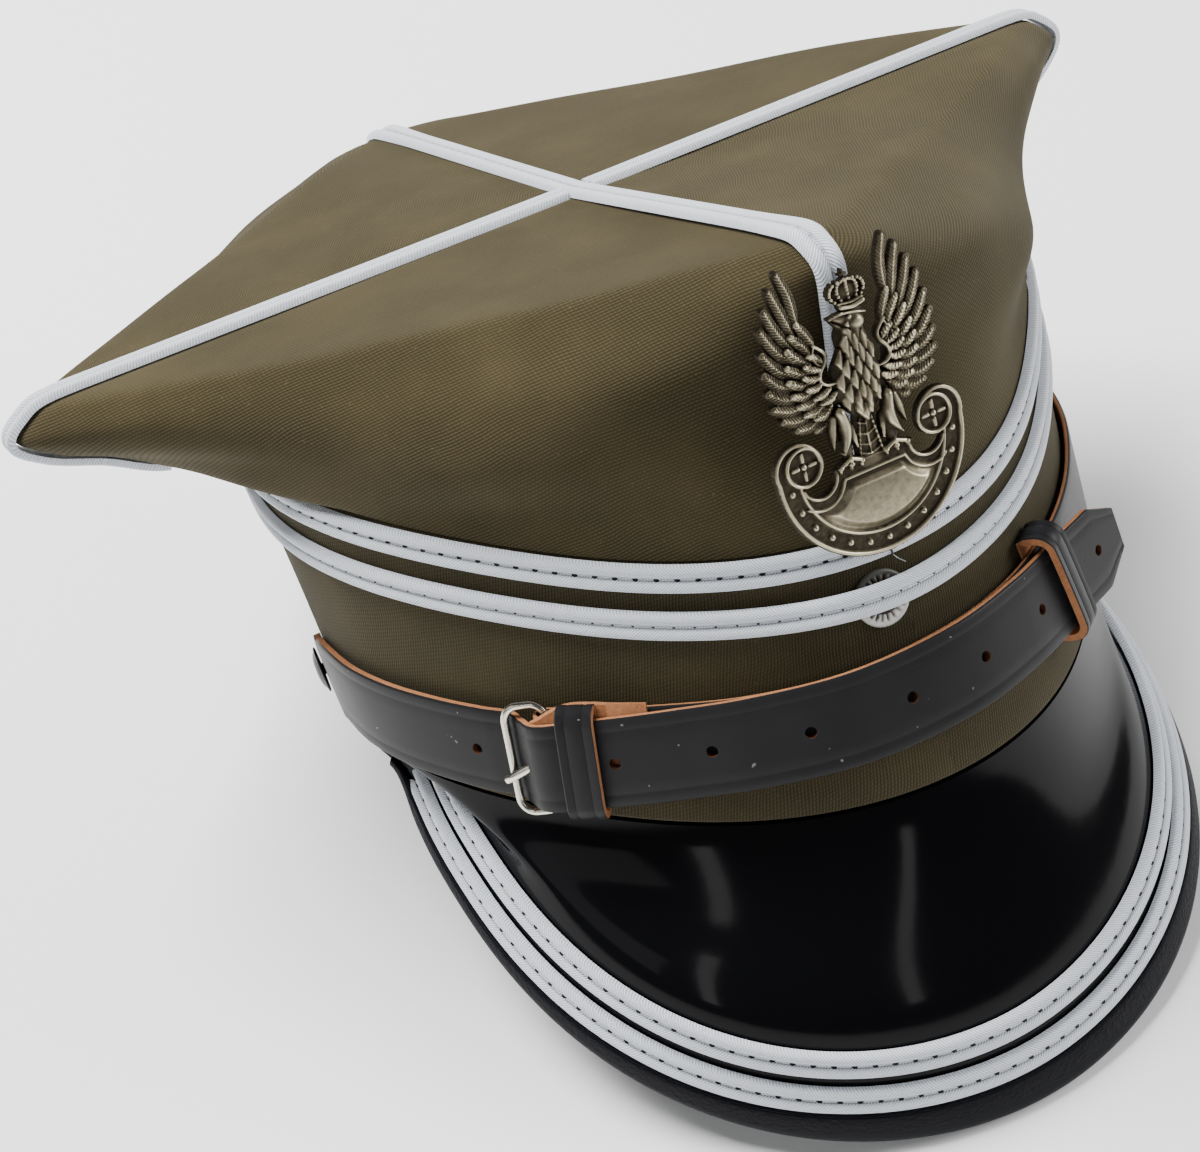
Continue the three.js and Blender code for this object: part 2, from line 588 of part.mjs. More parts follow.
/** Smooth line through the rows of a strap table, with a few steps between rows. */
function strapLine(rows, steps, off) {
  const knots = rows.map(({ angle, level, lift }) => bandPoint(angle * DEGREE, level, lift + off));
  const line = new THREE.CatmullRomCurve3(knots, false, 'centripetal');
  const count = (rows.length - 1) * steps;
  return Array.from({ length: count + 1 }, (_, i) => line.getPoint(i / count));
}

function strapSection(thickness) {
  const half = STRAP.width / 2;
  return [[-half, -thickness / 2], [half, -thickness / 2], [half, thickness / 2], [-half, thickness / 2]];
}

/** Short round bar used to punch a hole through a strap at a point. */
function punch(frame, radius, length) {
  const bar = new THREE.CylinderGeometry(radius, radius, length, radius > 1.5 ? 10 : 6);
  const turn = new THREE.Quaternion().setFromUnitVectors(new THREE.Vector3(0, 1, 0), frame.up);
  bar.applyQuaternion(turn);
  bar.translate(frame.point.x, frame.point.y, frame.point.z);
  return toSolid(bar);
}

/** Frame of the strap nearest to an angle from the front. */
const frameAt = (stations, degrees) => stations.reduce((best, station) => {
  const miss = (s) => Math.abs(Math.atan2(s.point.x, -s.point.y) / DEGREE - degrees);
  return miss(station) < miss(best) ? station : best;
});

/** Place in the buckle: run along the strap from the heel bar, height of the strap, lift off the band. */
function bucklePoint(run, level, lift) {
  const radius = BAND.radius * cosineSeries(BAND_OVAL, BUCKLE.heelAngle * DEGREE) + lift;
  return bandPoint(BUCKLE.heelAngle * DEGREE + run / radius, level + BUCKLE.slope * run, lift);
}

/** Box round a stretch of the buckle's place, used to cut room for the tongue. */
function buckleBox(runs, levels, lifts) {
  const corners = [];
  for (const lift of lifts) for (const level of levels) for (const run of runs) {
    corners.push(bucklePoint(run, level, lift));
  }
  const faces = [[0, 1, 3], [0, 3, 2], [4, 7, 5], [4, 6, 7], [0, 5, 1], [0, 4, 5],
    [2, 3, 7], [2, 7, 6], [0, 2, 6], [0, 6, 4], [1, 5, 7], [1, 7, 3]];
  return toSolid(closedGeometry(corners, faces));
}

/** Share of the full width at a distance from the button end. */
const neckShare = (distance) => (
  mix(STRAP_NECK.width, 1, Math.min(Math.max((distance - STRAP_NECK.length) / STRAP_NECK.shoulder, 0), 1)));

function strapLong() {
  const { thickness, tipLength, tipWidth, holeRadius } = STRAP;
  const points = strapLine(LONG_STRAP, 2, thickness / 2);
  const stations = strapFrames(points);
  const end = points.at(-1);
  stations.forEach((station) => {
    const left = Math.min(station.point.distanceTo(end) / tipLength, 1);
    station.scale = Math.min(mix(tipWidth, 1, left), neckShare(station.point.distanceTo(points[0])));
  });
  let strap = toSolid(sweepGeometry(strapSection(thickness), stations));
  const fine = strapFrames(strapLine(LONG_STRAP, 24, thickness / 2));
  for (const angle of STRAP_HOLES) {
    strap = strap.subtract(punch(frameAt(fine, angle), holeRadius, 4));
  }
  strap = strap.subtract(punch(frameAt(fine, BUTTONS.side_button_left), BUTTON.shank + GAP, 4));
  const half = TONGUE.width + TONGUE.clearance;
  const slot = buckleBox([-6.6, -2.6], [TONGUE.level - half, TONGUE.level + half], [4.1, 6.6]);
  return named('strap_long', fromSolid(strap.subtract(slot)), strapLeather);
}

function strapShort() {
  const { thickness } = STRAP;
  const { radius, length, endThickness } = FOLD;
  const flat = strapLine(SHORT_STRAP, 2, thickness / 2 - 0.05);
  const { heelLift, level } = BUCKLE;
  const bend = Array.from({ length: 9 }, (_, i) => {
    const turn = (i / 8) * Math.PI;
    const lift = heelLift - radius * Math.cos(turn);
    return bucklePoint(-radius * Math.sin(turn), level, lift);
  });
  const fold = [[2.4, 3.9], [5.6, 3.05], [9, 2.9], [13, 2.9], [length, 2.75]].map(([run, lift]) => (
    bucklePoint(run, level, lift)));
  const points = [...flat, ...bend, ...fold];
  const folded = points.length - fold.length;
  const stations = strapFrames(points, true).map((station, i) => ({
    ...station,
    scale: neckShare(station.point.distanceTo(points[0])),
    thin: i < folded ? 1 : mix(1, endThickness, (i - folded + 1) / fold.length),
  }));
  const section = strapSection(FOLD.thickness);
  let strap = toSolid(sweepGeometry(section, stations));
  const fine = strapFrames(strapLine(SHORT_STRAP, 24, thickness / 2));
  strap = strap.subtract(punch(frameAt(fine, BUTTONS.side_button_right), BUTTON.shank + GAP, 4));
  const half = TONGUE.width + TONGUE.clearance;
  const slot = buckleBox([-3.4, 3], [TONGUE.level - half, TONGUE.level + half], [0.2, 7]);
  return named('strap_short', fromSolid(strap.subtract(slot)), strapLeather);
}

function roundSection(halfWidth, halfThickness, sides) {
  return Array.from({ length: sides }, (_, i) => {
    const turn = ((i + 0.5) / sides) * 2 * Math.PI;
    return [halfWidth * Math.cos(turn), halfThickness * Math.sin(turn)];
  });
}

function buckleFrame() {
  const { length, height, corner, wire, heelLift, barLift, level } = BUCKLE;
  const corners = [[0, 1], [-length, 1], [-length, -1], [0, -1]].map(([run, way], i) => {
    const centre = [run === 0 ? -corner : run + corner, way * (height / 2 - corner)];
    return Array.from({ length: 4 }, (_, k) => {
      const turn = (i * 0.5 + (k / 3) * 0.5) * Math.PI;
      const at = [centre[0] + corner * Math.cos(turn), centre[1] + corner * Math.sin(turn)];
      return bucklePoint(at[0], level + at[1], mix(heelLift, barLift, -at[0] / length));
    });
  }).flat();
  const ups = corners.map((point) => bandNormal(Math.atan2(point.x, -point.y), level));
  return named('buckle_frame', sweepGeometry(roundSection(wire, wire, 6), withFrames(corners, ups, true), true), nickel);
}

function buckleTongue() {
  const { length, heelLift, barLift, wire } = BUCKLE;
  const { level, width, thickness } = TONGUE;
  const hook = wire + GAP + thickness;
  const over = barLift + wire + GAP / 2 + thickness;
  const around = Array.from({ length: 8 }, (_, i) => {
    const turn = mix(-200, 80, i / 7) * DEGREE;
    return bucklePoint(hook * Math.sin(turn + Math.PI), level, heelLift + hook * Math.cos(turn + Math.PI));
  });
  const reach = [[-4.4, 5.35], [-length, over], [-length - 1.3, over]].map(([run, lift]) => (
    bucklePoint(run, level, lift)));
  const stations = strapFrames([...around, ...reach]);
  return named('buckle_tongue', sweepGeometry(roundSection(width, thickness, 8), stations), nickel);
}

/** Flat loop of leather round the straps; its front stands at the given lift off the band. */
function keeper(name) {
  const { angle, level, slant, lean, inside, width, lift, front } = KEEPERS[name];
  const { back, front: leather } = KEEPER_LEATHER;
  const half = inside / 2;
  const box = (grow, low, high) => {
    const bend = 1.2 + grow;
    const shape = new THREE.Shape();
    shape.moveTo(-half - grow + 0.4, low);
    shape.lineTo(half + grow - 0.4, low);
    shape.lineTo(half + grow, low + 0.4);
    shape.lineTo(half + grow, high - bend);
    shape.lineTo(half + grow - bend * 0.3, high - bend * 0.3);
    shape.lineTo(half + grow - bend, high);
    shape.lineTo(-half - grow + bend, high);
    shape.lineTo(-half - grow + bend * 0.3, high - bend * 0.3);
    shape.lineTo(-half - grow, high - bend);
    shape.lineTo(-half - grow, low + 0.4);
    return shape;
  };
  const outer = box(leather, lift, front + leather);
  outer.holes.push(new THREE.Path(box(0, lift + back, front).getPoints()));
  const loop = new THREE.ExtrudeGeometry(outer, { depth: width, bevelEnabled: false });
  loop.translate(0, 0, -width / 2);
  const off = bandNormal(angle * DEGREE, level).applyAxisAngle(new THREE.Vector3(0, 0, 1), lean * DEGREE);
  const around = new THREE.Vector3(0, 0, 1).cross(off).normalize();
  const turned = around.applyAxisAngle(off, slant * DEGREE);
  const upward = off.clone().cross(turned);
  const basis = new THREE.Matrix4().makeBasis(upward, off, turned.clone().negate());
  if (basis.determinant() < 0) basis.makeBasis(upward, off, turned);
  loop.applyMatrix4(basis.setPosition(bandPoint(angle * DEGREE, level)));
  return named(name, fromSolid(toSolid(loop)), strapLeather);
}

/** Domed button whose shank passes through the end of a strap. */
function sideButton(name) {
  const { radius, dome, rim, shank, root, seat } = BUTTON;
  const profile = [[0, root], [shank, root], [shank, seat], [radius - 0.6, seat], [radius, seat + rim / 2],
    [radius - 0.4, seat + rim], [radius * 0.75, seat + rim + dome * 0.4],
    [radius * 0.4, seat + dome * 0.9], [0, seat + dome]].map(([x, y]) => new THREE.Vector2(x, y));
  const button = new THREE.LatheGeometry(profile, 14);
  const rows = BUTTONS[name] < 0 ? LONG_STRAP : SHORT_STRAP;
  const frames = strapFrames(strapLine(rows, 24, STRAP.thickness / 2), BUTTONS[name] > 0);
  const { point, up } = frameAt(frames, BUTTONS[name]);
  button.applyQuaternion(new THREE.Quaternion().setFromUnitVectors(new THREE.Vector3(0, 1, 0), up));
  button.translate(point.x, point.y, point.z);
  return named(name, fromSolid(toSolid(button)), blackMetal);
}

// ---------------------------------------------------------------- badge

/** Outline of the crescent shield with its two scrolls. */
function shieldShape() {
  const { radius, barTop, barHalf, voluteU, voluteV, voluteRadius } = SHIELD;
  const shape = new THREE.Shape();
  shape.absarc(0, radius, radius, 8 * DEGREE, 172 * DEGREE, true);
  shape.absarc(-voluteU, voluteV, voluteRadius, 120 * DEGREE, -40 * DEGREE, true);
  shape.lineTo(-barHalf, barTop);
  shape.lineTo(barHalf, barTop);
  shape.absarc(voluteU, voluteV, voluteRadius, 220 * DEGREE, 60 * DEGREE, true);
  return shape;
}

/** Outline of the smooth field inside the shield's rim. */
function fieldShape() {
  const { radius, field, barBottom, hornU, hornV } = SHIELD;
  const path = new THREE.Shape();
  const side = Math.atan2(hornV - radius, hornU);
  path.absarc(0, radius, field, side, -Math.PI - side, true);
  path.quadraticCurveTo(-7.4, 12.6, -6.4, barBottom);
  path.lineTo(6.4, barBottom);
  path.quadraticCurveTo(7.4, 12.6, hornU, hornV);
  return path;
}

const raised = (shape, from, to, segments = 5) => {
  const solid = new THREE.ExtrudeGeometry(shape, { depth: to - from, bevelEnabled: false, curveSegments: segments });
  solid.translate(0, 0, from);
  return toSolid(solid);
};

/** Rounded form standing on the badge's back plane. */
function badgeForm({ u, v, halfU, halfV, height }) {
  const form = new THREE.SphereGeometry(1, 8, 4);
  form.rotateX(Math.PI / 2);
  form.scale(halfU, halfV, height - BADGE.plate);
  form.translate(u, v, BADGE.plate);
  return toSolid(form);
}

/** One feather: a ridge that narrows to its tip. */
function feather({ rootU, rootV, tipU, tipV, width }, side) {
  const root = new THREE.Vector3(side * rootU, rootV, 0);
  const tip = new THREE.Vector3(side * tipU, tipV, 0);
  const along = tip.clone().sub(root);
  const across = new THREE.Vector3(-along.y, along.x, 0).normalize();
  const station = (t, scale) => (
    { point: root.clone().addScaledVector(along, t), side: across, up: new THREE.Vector3(0, 0, 1), scale });
  const half = width / 2;
  const section = [[-half, 0.2], [half, 0.2], [half * 0.9, 1.2], [0, 2.0], [-half * 0.9, 1.2]];
  return toSolid(sweepGeometry(section, [station(0, 0.9), station(0.8, 1), station(1, 0.25)]));
}

function badge() {
  const { plate, lean, u, bottomY, bottomZ, post } = BADGE;
  const shield = raised(shieldShape(), 0, plate + SHIELD.fieldDepth);
  const pieces = [shield.subtract(raised(fieldShape(), plate, plate + 2))];
  const dome = new THREE.SphereGeometry(1, 10, 4);
  dome.rotateX(Math.PI / 2);
  dome.scale(12.4, 7.0, SHIELD.dome);
  dome.translate(0, 9.6, plate - 0.2);
  pieces.push(toSolid(dome));
  for (const side of [-1, 1]) pieces.push(...WING_FEATHERS.map((row) => feather(row, side)));
  pieces.push(...EAGLE_FORMS.map(badgeForm));
  const beak = new THREE.ConeGeometry(0.9, 3.6, 6);
  beak.rotateZ(100 * DEGREE);
  beak.translate(-1.8, 45.1, 2.2);
  pieces.push(toSolid(beak));
  const crownlet = new THREE.Shape();
  crownlet.moveTo(CROWNLET.u - CROWNLET.half * 0.8, CROWNLET.v);
  crownlet.lineTo(CROWNLET.u + CROWNLET.half * 0.8, CROWNLET.v);
  crownlet.lineTo(CROWNLET.u + CROWNLET.half, CROWNLET.v + CROWNLET.rise);
  crownlet.lineTo(CROWNLET.u, CROWNLET.v + CROWNLET.rise + 1.6);
  crownlet.lineTo(CROWNLET.u - CROWNLET.half, CROWNLET.v + CROWNLET.rise);
  pieces.push(raised(crownlet, 0.2, CROWNLET.depth + 0.6));
  const stud = new THREE.CylinderGeometry(post, post, 3.4, 8);
  stud.rotateX(Math.PI / 2);
  stud.translate(0, 17, -1.4);
  pieces.push(toSolid(stud));
  const whole = pieces.reduce((sum, piece) => sum.add(piece));
  const geometry = fromSolid(whole);
  const turn = new THREE.Matrix4().makeRotationX(Math.PI / 2 - lean * DEGREE);
  geometry.applyMatrix4(turn.setPosition(u, bottomY, bottomZ));
  return named('badge', geometry, agedSilver);
}

/** Fluted disc under the lower ring of braid. */
function bandEyelet() {
  const { angle, level, radius, thickness, flutes } = EYELET;
  const shape = new THREE.Shape();
  for (let i = 0; i < flutes * 2; i += 1) {
    const reach = radius * (i % 2 ? 0.9 : 1);
    const turn = (i / (flutes * 2)) * 2 * Math.PI;
    const at = [reach * Math.cos(turn), reach * Math.sin(turn)];
    if (i === 0) shape.moveTo(...at);
    else shape.lineTo(...at);
  }
  const disc = new THREE.ExtrudeGeometry(shape, { depth: thickness, bevelEnabled: false });
  const off = bandNormal(angle * DEGREE, level);
  disc.applyQuaternion(new THREE.Quaternion().setFromUnitVectors(new THREE.Vector3(0, 0, 1), off));
  const place = bandPoint(angle * DEGREE, level, GAP);
  disc.translate(place.x, place.y, place.z);
  return named('band_eyelet', fromSolid(toSolid(disc)), agedSilver);
}

// ---------------------------------------------------------------- assembly

const outerBraid = BRAID.width / 2;
const upright = new THREE.Group();
upright.name = 'upright';
upright.add(
  band(),
  bandBraid('band_braid_upper', RING_LEVELS.upper),
  bandBraid('band_braid_lower', RING_LEVELS.lower, 1.5),
  ...Object.keys(QUARTERS).map(crownPanel),
  ...seamBraids(),
  peak(),
  peakBraid('peak_braid_outer', outerBraid, PEAK_REACH.outer, PEAK_REACH.outer),
  peakBraid('peak_braid_inner', outerBraid + BRAID.width + PEAK_BRAID_GAP, PEAK_REACH.innerLeft, PEAK_REACH.innerRight),
  peakEdging(),
  strapLong(),
  strapShort(),
  buckleFrame(),
  buckleTongue(),
  ...Object.keys(KEEPERS).map(keeper),
  ...Object.keys(BUTTONS).map(sideButton),
  badge(),
  bandEyelet(),
);

// The cap leans back until it rests on the front of its peak and the back of its band.
upright.rotation.set(-REST.lean * DEGREE, REST.roll * DEGREE, 0);
const bounds = new THREE.Box3().setFromObject(upright, true);
upright.position.set(-(bounds.min.x + bounds.max.x) / 2, -(bounds.min.y + bounds.max.y) / 2, -bounds.min.z);

const group = new THREE.Group();
group.add(upright);
export default group;
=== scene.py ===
"""A four-cornered peaked cap (rogatywka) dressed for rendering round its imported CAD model.

Lengths in the tables are millimetres in the cap's own upright frame: the peak faces -Y and +Z is up.
place() turns them into the row frame, in metres, where the cap lies on a flat surface.
"""

import math
from functools import partialmethod

import bmesh
import bpy
import numpy as np
from mathutils import Matrix, Vector


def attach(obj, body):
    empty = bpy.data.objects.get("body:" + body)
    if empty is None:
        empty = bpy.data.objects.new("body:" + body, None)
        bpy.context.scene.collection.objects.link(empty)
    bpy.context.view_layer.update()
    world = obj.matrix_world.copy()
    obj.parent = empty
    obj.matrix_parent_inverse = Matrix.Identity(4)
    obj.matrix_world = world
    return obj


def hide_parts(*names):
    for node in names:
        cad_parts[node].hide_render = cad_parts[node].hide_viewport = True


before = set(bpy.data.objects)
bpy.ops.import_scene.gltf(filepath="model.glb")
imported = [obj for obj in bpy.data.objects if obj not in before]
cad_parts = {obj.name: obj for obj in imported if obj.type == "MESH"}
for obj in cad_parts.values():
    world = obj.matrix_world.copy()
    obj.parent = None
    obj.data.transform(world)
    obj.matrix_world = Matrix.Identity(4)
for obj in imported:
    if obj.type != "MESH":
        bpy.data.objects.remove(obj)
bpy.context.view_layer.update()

DEG = math.pi / 180
TURN = 2 * math.pi


def table(columns, *rows):
    """Rows as dictionaries with named columns."""
    return [dict(zip(columns.split(), row)) for row in rows]


# ---------------------------------------------------------------- sizes

# These are the CAD solids' sizes. A few differ by one or two millimetres, where the look needs it.
GAP = 0.35
CLOTH = 2.0
REST_LEAN, REST_ROLL = 15.62, 1.88
REST_SHIFT = (-2.6146, 7.4815, 30.8112)
BAND_RADIUS, BAND_HEIGHT = 90.3, 53.2
BAND_OVAL = (1, 0.062, 0.162, -0.017, 0.006, 0.026)
BAND_TAPER = (0.022, -0.141, -0.100, 0.032)
BAND_WAVE_RIM, BAND_WAVE_RISE = 4.3, 0.075
BRAID_WIDTH, BRAID_THICK, BRAID_GROOVE = 5.4, 1.75, 0.95
STITCH_PITCH = 3.75
RING_BRAIDS = table(
    "name level lift material",
    ("band_braid_upper", 50.2, 0.0, "braid"),
    ("band_braid_lower", 40.8, 1.5, "sewn_braid"))
EYELET_ANGLE, EYELET_LEVEL = -2.6, 39.8

# Crown: one row for each section from the join with the band up to the rim of the top.
CROWN_SECTIONS = table(
    "blend front side back z_front z_side z_back end_bend side_bend sag roll",
    (0.00, 102.0, 82.0, 100.0, 45.0, 61.6, 45.0, 60, 8, 0, 0),
    (0.35, 99.0, 125.0, 105.0, 54.5, 63.6, 53.0, 60, 8, 0, 0),
    (1.00, 95.8, 107.5, 104.5, 70.0, 68.6, 66.0, 82, 8, 0, 0.002),
    (1.00, 97.0, 118.5, 107.0, 85.0, 74.0, 75.0, 66, 6, 1, 0.008),
    (1.00, 97.4, 123.4, 109.5, 93.6, 79.4, 78.6, 26, 5, 2, 0.016),
    (1.00, 91.5, 117.0, 103.0, 97.6, 85.2, 81.4, 12, 5, 2, 0.020))
NOSE_ROW = 4
CROWN_TOP = 86.9
SIDE_SETBACK = 6.6
BACK_SAG = -0.6
QUARTERS = table(
    "name to_back sign",
    ("crown_front_right", False, 1), ("crown_back_right", True, 1),
    ("crown_back_left", True, -1), ("crown_front_left", False, -1))

PEAK = dict(half_width=75.0, width_power=1.025, forward=77.9, drop=40.9, roundness=0.876, x=-2.2, y=-50.2,
            z=-19.2, roll=0.034, thickness=2.2, band_angle=73, leave=0.15)
PEAK_TILT = (52.4, -17.0, 8.5, 13.1)
PEAK_REACH = dict(plate=112, corner=101, outer=101, inner_left=101, inner_right=96, edging_left=109,
                  edging_right=107)
PEAK_BRAID_GAP = 2.2
EDGING_WIDTH, EDGING_SIDE, EDGING_LEATHER = 7.2, 4.0, 1.0

STRAP_WIDTH, STRAP_THICK, STRAP_HOLE, TIP_LENGTH, TIP_WIDTH = 17.4, 1.6, 1.1, 7.5, 0.52
NECK_WIDTH, NECK_LENGTH, NECK_SHOULDER = 0.58, 11.5, 6.5
LONG_STRAP = table(
    "angle level lift",
    (-93, 5.6, 0.35), (-88, 5.8, 0.35), (-83, 7.6, 0.4), (-78, 9.7, 0.7), (-70, 10.4, 1.2),
    (-62, 10.9, 1.4), (-54, 11.4, 1.5), (-48, 11.8, 1.6),
    (-44.2, 12.1, 1.7), (-42.5, 12.3, 3.8), (-40.9, 12.7, 5.9), (-39.5, 13.2, 6.3), (-37.7, 13.6, 5.6),
    (-36.0, 14.0, 4.9), (-31.0, 15.6, 4.4), (-25.0, 17.2, 3.6), (-18.0, 18.7, 3.2), (-8, 20.4, 3.2),
    (3, 21.8, 3.2), (12, 22.0, 3.3), (18, 21.4, 3.8), (22, 20.9, 4.8), (26, 20.5, 6.8), (31, 20.4, 10.0))
# Behind the long strap this one hangs about 1 mm lower than its solid, so that one raw edge shows.
SHORT_STRAP = table(
    "angle level lift",
    (93, 5.8, 0.35), (88, 6.2, 0.35), (83, 8.4, 0.4), (78, 11.0, 0.7), (66, 12.8, 0.8), (54, 14.4, 0.8),
    (42, 16.4, 0.9), (31, 18.9, 1.2), (22, 20.5, 1.3), (12, 20.9, 1.1), (3, 20.7, 1.1), (-8, 19.3, 1.1),
    (-18, 17.7, 0.9), (-28, 16.0, 0.6), (-36, 14.0, 0.5))
STRAP_HOLES = (-49.5, -32.3, -22.3, -13, -3.5, 5.6, 14.3, 26.6)
BUCKLE = dict(heel_angle=-39.6, level=13.4, slope=0.15, length=8.5, height=21.8, wire=0.8, corner=3.2,
              heel_lift=3.0, bar_lift=4.8)
FOLD_RADIUS, FOLD_THICK, FOLD_END = 1.75, 1.2, 0.5
FOLD = table("run lift rise", (2.4, 4.1, 0.8), (5.6, 3.4, 2.1), (9, 3.25, 2.2), (13, 3.1, 1.8), (19, 2.8, 1.2))
TONGUE_LEVEL, TONGUE_WIDTH, TONGUE_THICK, TONGUE_RISE = 13.6, 0.85, 0.6, 0.42
KEEPERS = table(
    "name angle level slant lean inside width lift front",
    ("keeper_buckle", -35.6, 14.0, -2, 9, 19.9, 7.0, 3.85, 7.0),
    ("keeper_tip", 18.8, 21.4, 9, 0, 21.4, 6.0, 0.35, 6.3))
KEEPER_BACK, KEEPER_FRONT, KEEPER_CORNER, KEEPER_INNER_CORNER = 0.6, 1.6, 3.0, 0.4
BUTTONS = {"side_button_left": -88.5, "side_button_right": 88.5}
BADGE_AT, BADGE_LEAN = (-2.9, -106.9, 42.4), 4.4


# ---------------------------------------------------------------- placing and courses

def turn_matrix(axis, degrees):
    return np.array(Matrix.Rotation(degrees * DEG, 3, axis))


REST_TURN = turn_matrix("X", -REST_LEAN) @ turn_matrix("Y", REST_ROLL)


def place(points):
    """Points of the cap's own frame (mm) in the row frame (m)."""
    return (np.asarray(points, float) @ REST_TURN.T + np.array(REST_SHIFT)) / 1000


def unit(v):
    return v / (np.linalg.norm(v, axis=-1, keepdims=True) + 1e-12)


def smoothstep(t):
    t = np.clip(t, 0, 1)
    return t * t * (3 - 2 * t)


def mix(a, b, t):
    return a + (b - a) * t


def bell(distance, reach):
    return np.exp(-((distance / reach) ** 2))


def round_turns(count):
    return np.arange(count) / count * TURN


def run_along(points):
    """Distance along a course at each of its points."""
    return np.concatenate([[0], np.cumsum(np.linalg.norm(np.diff(points, axis=0), axis=1))])


def spline(knots, count, closed=False):
    """Centripetal Catmull-Rom curve through knots: the span between two knots gets equal parameter steps."""
    knots = np.asarray(knots, float)
    n = len(knots)
    spans = n if closed else n - 1
    out = []
    for t in np.linspace(0, spans, count, endpoint=not closed):
        i = min(int(t), spans - 1)
        w = t - i
        p1, p2 = knots[i % n], knots[(i + 1) % n]
        p0 = knots[(i - 1) % n] if closed or i > 0 else 2 * knots[0] - knots[1]
        p3 = knots[(i + 2) % n] if closed or i + 2 < n else 2 * knots[-1] - knots[-2]
        d0, d1, d2 = (max(np.linalg.norm(b - a), 1e-6) ** 0.5 for a, b in ((p0, p1), (p1, p2), (p2, p3)))
        m1 = ((p1 - p0) / d0 - (p2 - p0) / (d0 + d1) + (p2 - p1) / d1) * d1
        m2 = ((p2 - p1) / d1 - (p3 - p1) / (d1 + d2) + (p3 - p2) / d2) * d1
        out.append(p1 + m1 * w + (-3 * p1 + 3 * p2 - 2 * m1 - m2) * w ** 2
                   + (2 * p1 - 2 * p2 + m1 + m2) * w ** 3)
    return np.array(out)


def frames(points, ups, closed=False):
    """Side and up directions along a course."""
    if closed:
        along = unit(np.roll(points, -1, 0) - np.roll(points, 1, 0))
    else:
        along = unit(np.gradient(points, axis=0))
    side = unit(np.cross(along, ups))
    return side, unit(np.cross(side, along))


def sweep(points, side, up, section, scale=None, thin=None):
    """Loops of a section [(x, y)] carried along a course; x runs to the side and y runs up."""
    section = np.asarray(section, float)
    x = section[None, :, 0:1] * (1 if scale is None else np.asarray(scale)[:, None, None])
    y = section[None, :, 1:2] * (1 if thin is None else np.asarray(thin)[:, None, None])
    return points[:, None] + side[:, None] * x + up[:, None] * y


# ---------------------------------------------------------------- meshes

def new_mesh(name, points, faces, mats):
    mesh = bpy.data.meshes.new(name)
    mesh.from_pydata(place(points).tolist(), [], faces)
    for mat in mats:
        mesh.materials.append(MATS[mat])
    return mesh


def link(name, data):
    obj = bpy.data.objects.new(name, data)
    bpy.context.scene.collection.objects.link(obj)
    return obj


def add_piece(name, mesh, sharp, node, slot, outward=True):
    """Object from a mesh, smooth apart from edges over sharp degrees; node is the CAD piece it stands for."""
    bm = bmesh.new()
    bm.from_mesh(mesh)
    bmesh.ops.delete(bm, geom=[vert for vert in bm.verts if not vert.link_faces], context="VERTS")
    if outward:
        bmesh.ops.recalc_face_normals(bm, faces=bm.faces)
    for face in bm.faces:
        face.smooth = True
    for edge in bm.edges:
        if len(edge.link_faces) == 2 and edge.calc_face_angle(0) > sharp * DEG:
            edge.smooth = False
    bm.to_mesh(mesh)
    bm.free()
    obj = link(name, mesh)
    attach(obj, "root")
    if node:
        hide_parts(node)
    return obj


def add_values(mesh, name, values):
    mesh.attributes.new(name, "FLOAT", "POINT").data.foreach_set("value", np.asarray(values, np.float32))


def grid_uv(u, v):
    return np.stack(np.meshgrid(u, v, indexing="ij"), -1)


def loft(node, loops, mats, slot, closed=False, kinds=None, uv=None, cap="fan", sharp=50, name=None):
    """Skin over closed loops [station][k]; kinds gives the material of the strip from k to k + 1."""
    loops = np.asarray(loops, float)
    stations, count = loops.shape[:2]
    kinds = kinds or [0] * count
    if uv is None:
        middle = loops.mean(1)
        step = np.linalg.norm(np.roll(loops, -1, 1) - loops, axis=2).mean(0)
        uv = grid_uv(run_along(np.vstack([middle, middle[:1]])), np.concatenate([[0], np.cumsum(step)]))
    faces, corners, face_mats = [], [], []
    for i in range(stations if closed else stations - 1):
        n = (i + 1) % stations
        for k in range(count):
            m = (k + 1) % count
            faces.append((i * count + k, i * count + m, n * count + m, n * count + k))
            corners.append((uv[i][k], uv[i][k + 1], uv[i + 1][k + 1], uv[i + 1][k]))
            face_mats.append(kinds[k])
    ends = dict(fan=[range(count)], strip=[(k, k + 1, count - 2 - k, count - 1 - k) for k in range(count // 2 - 1)])
    for i, turn in ((0, 1), (stations - 1, -1)):
        for order in [] if closed else ends.get(cap, []):
            order = order[::turn]
            faces.append([i * count + k for k in order])
            corners.append([uv[i][k] for k in order])
            face_mats.append(max(kinds))
    mesh = new_mesh(node or name, loops.reshape(-1, 3), faces, mats)
    layer = mesh.uv_layers.new(name="cloth")
    layer.data.foreach_set("uv", np.array([c for face in corners for c in face], float).ravel())
    mesh.polygons.foreach_set("material_index", np.asarray(face_mats, np.int32))
    mesh.validate()
    return add_piece(name or node + "_surface", mesh, sharp, node, slot)


def loft_along(node, points, ups, section, mats, slot, closed=False, scale=None, **options):
    """Skin over a section carried along a course; ups are the directions that the section faces."""
    loops = sweep(points, *frames(points, ups, closed), section, scale)
    return loft(node, loops, mats, slot, closed=closed, **options)


# ---------------------------------------------------------------- materials

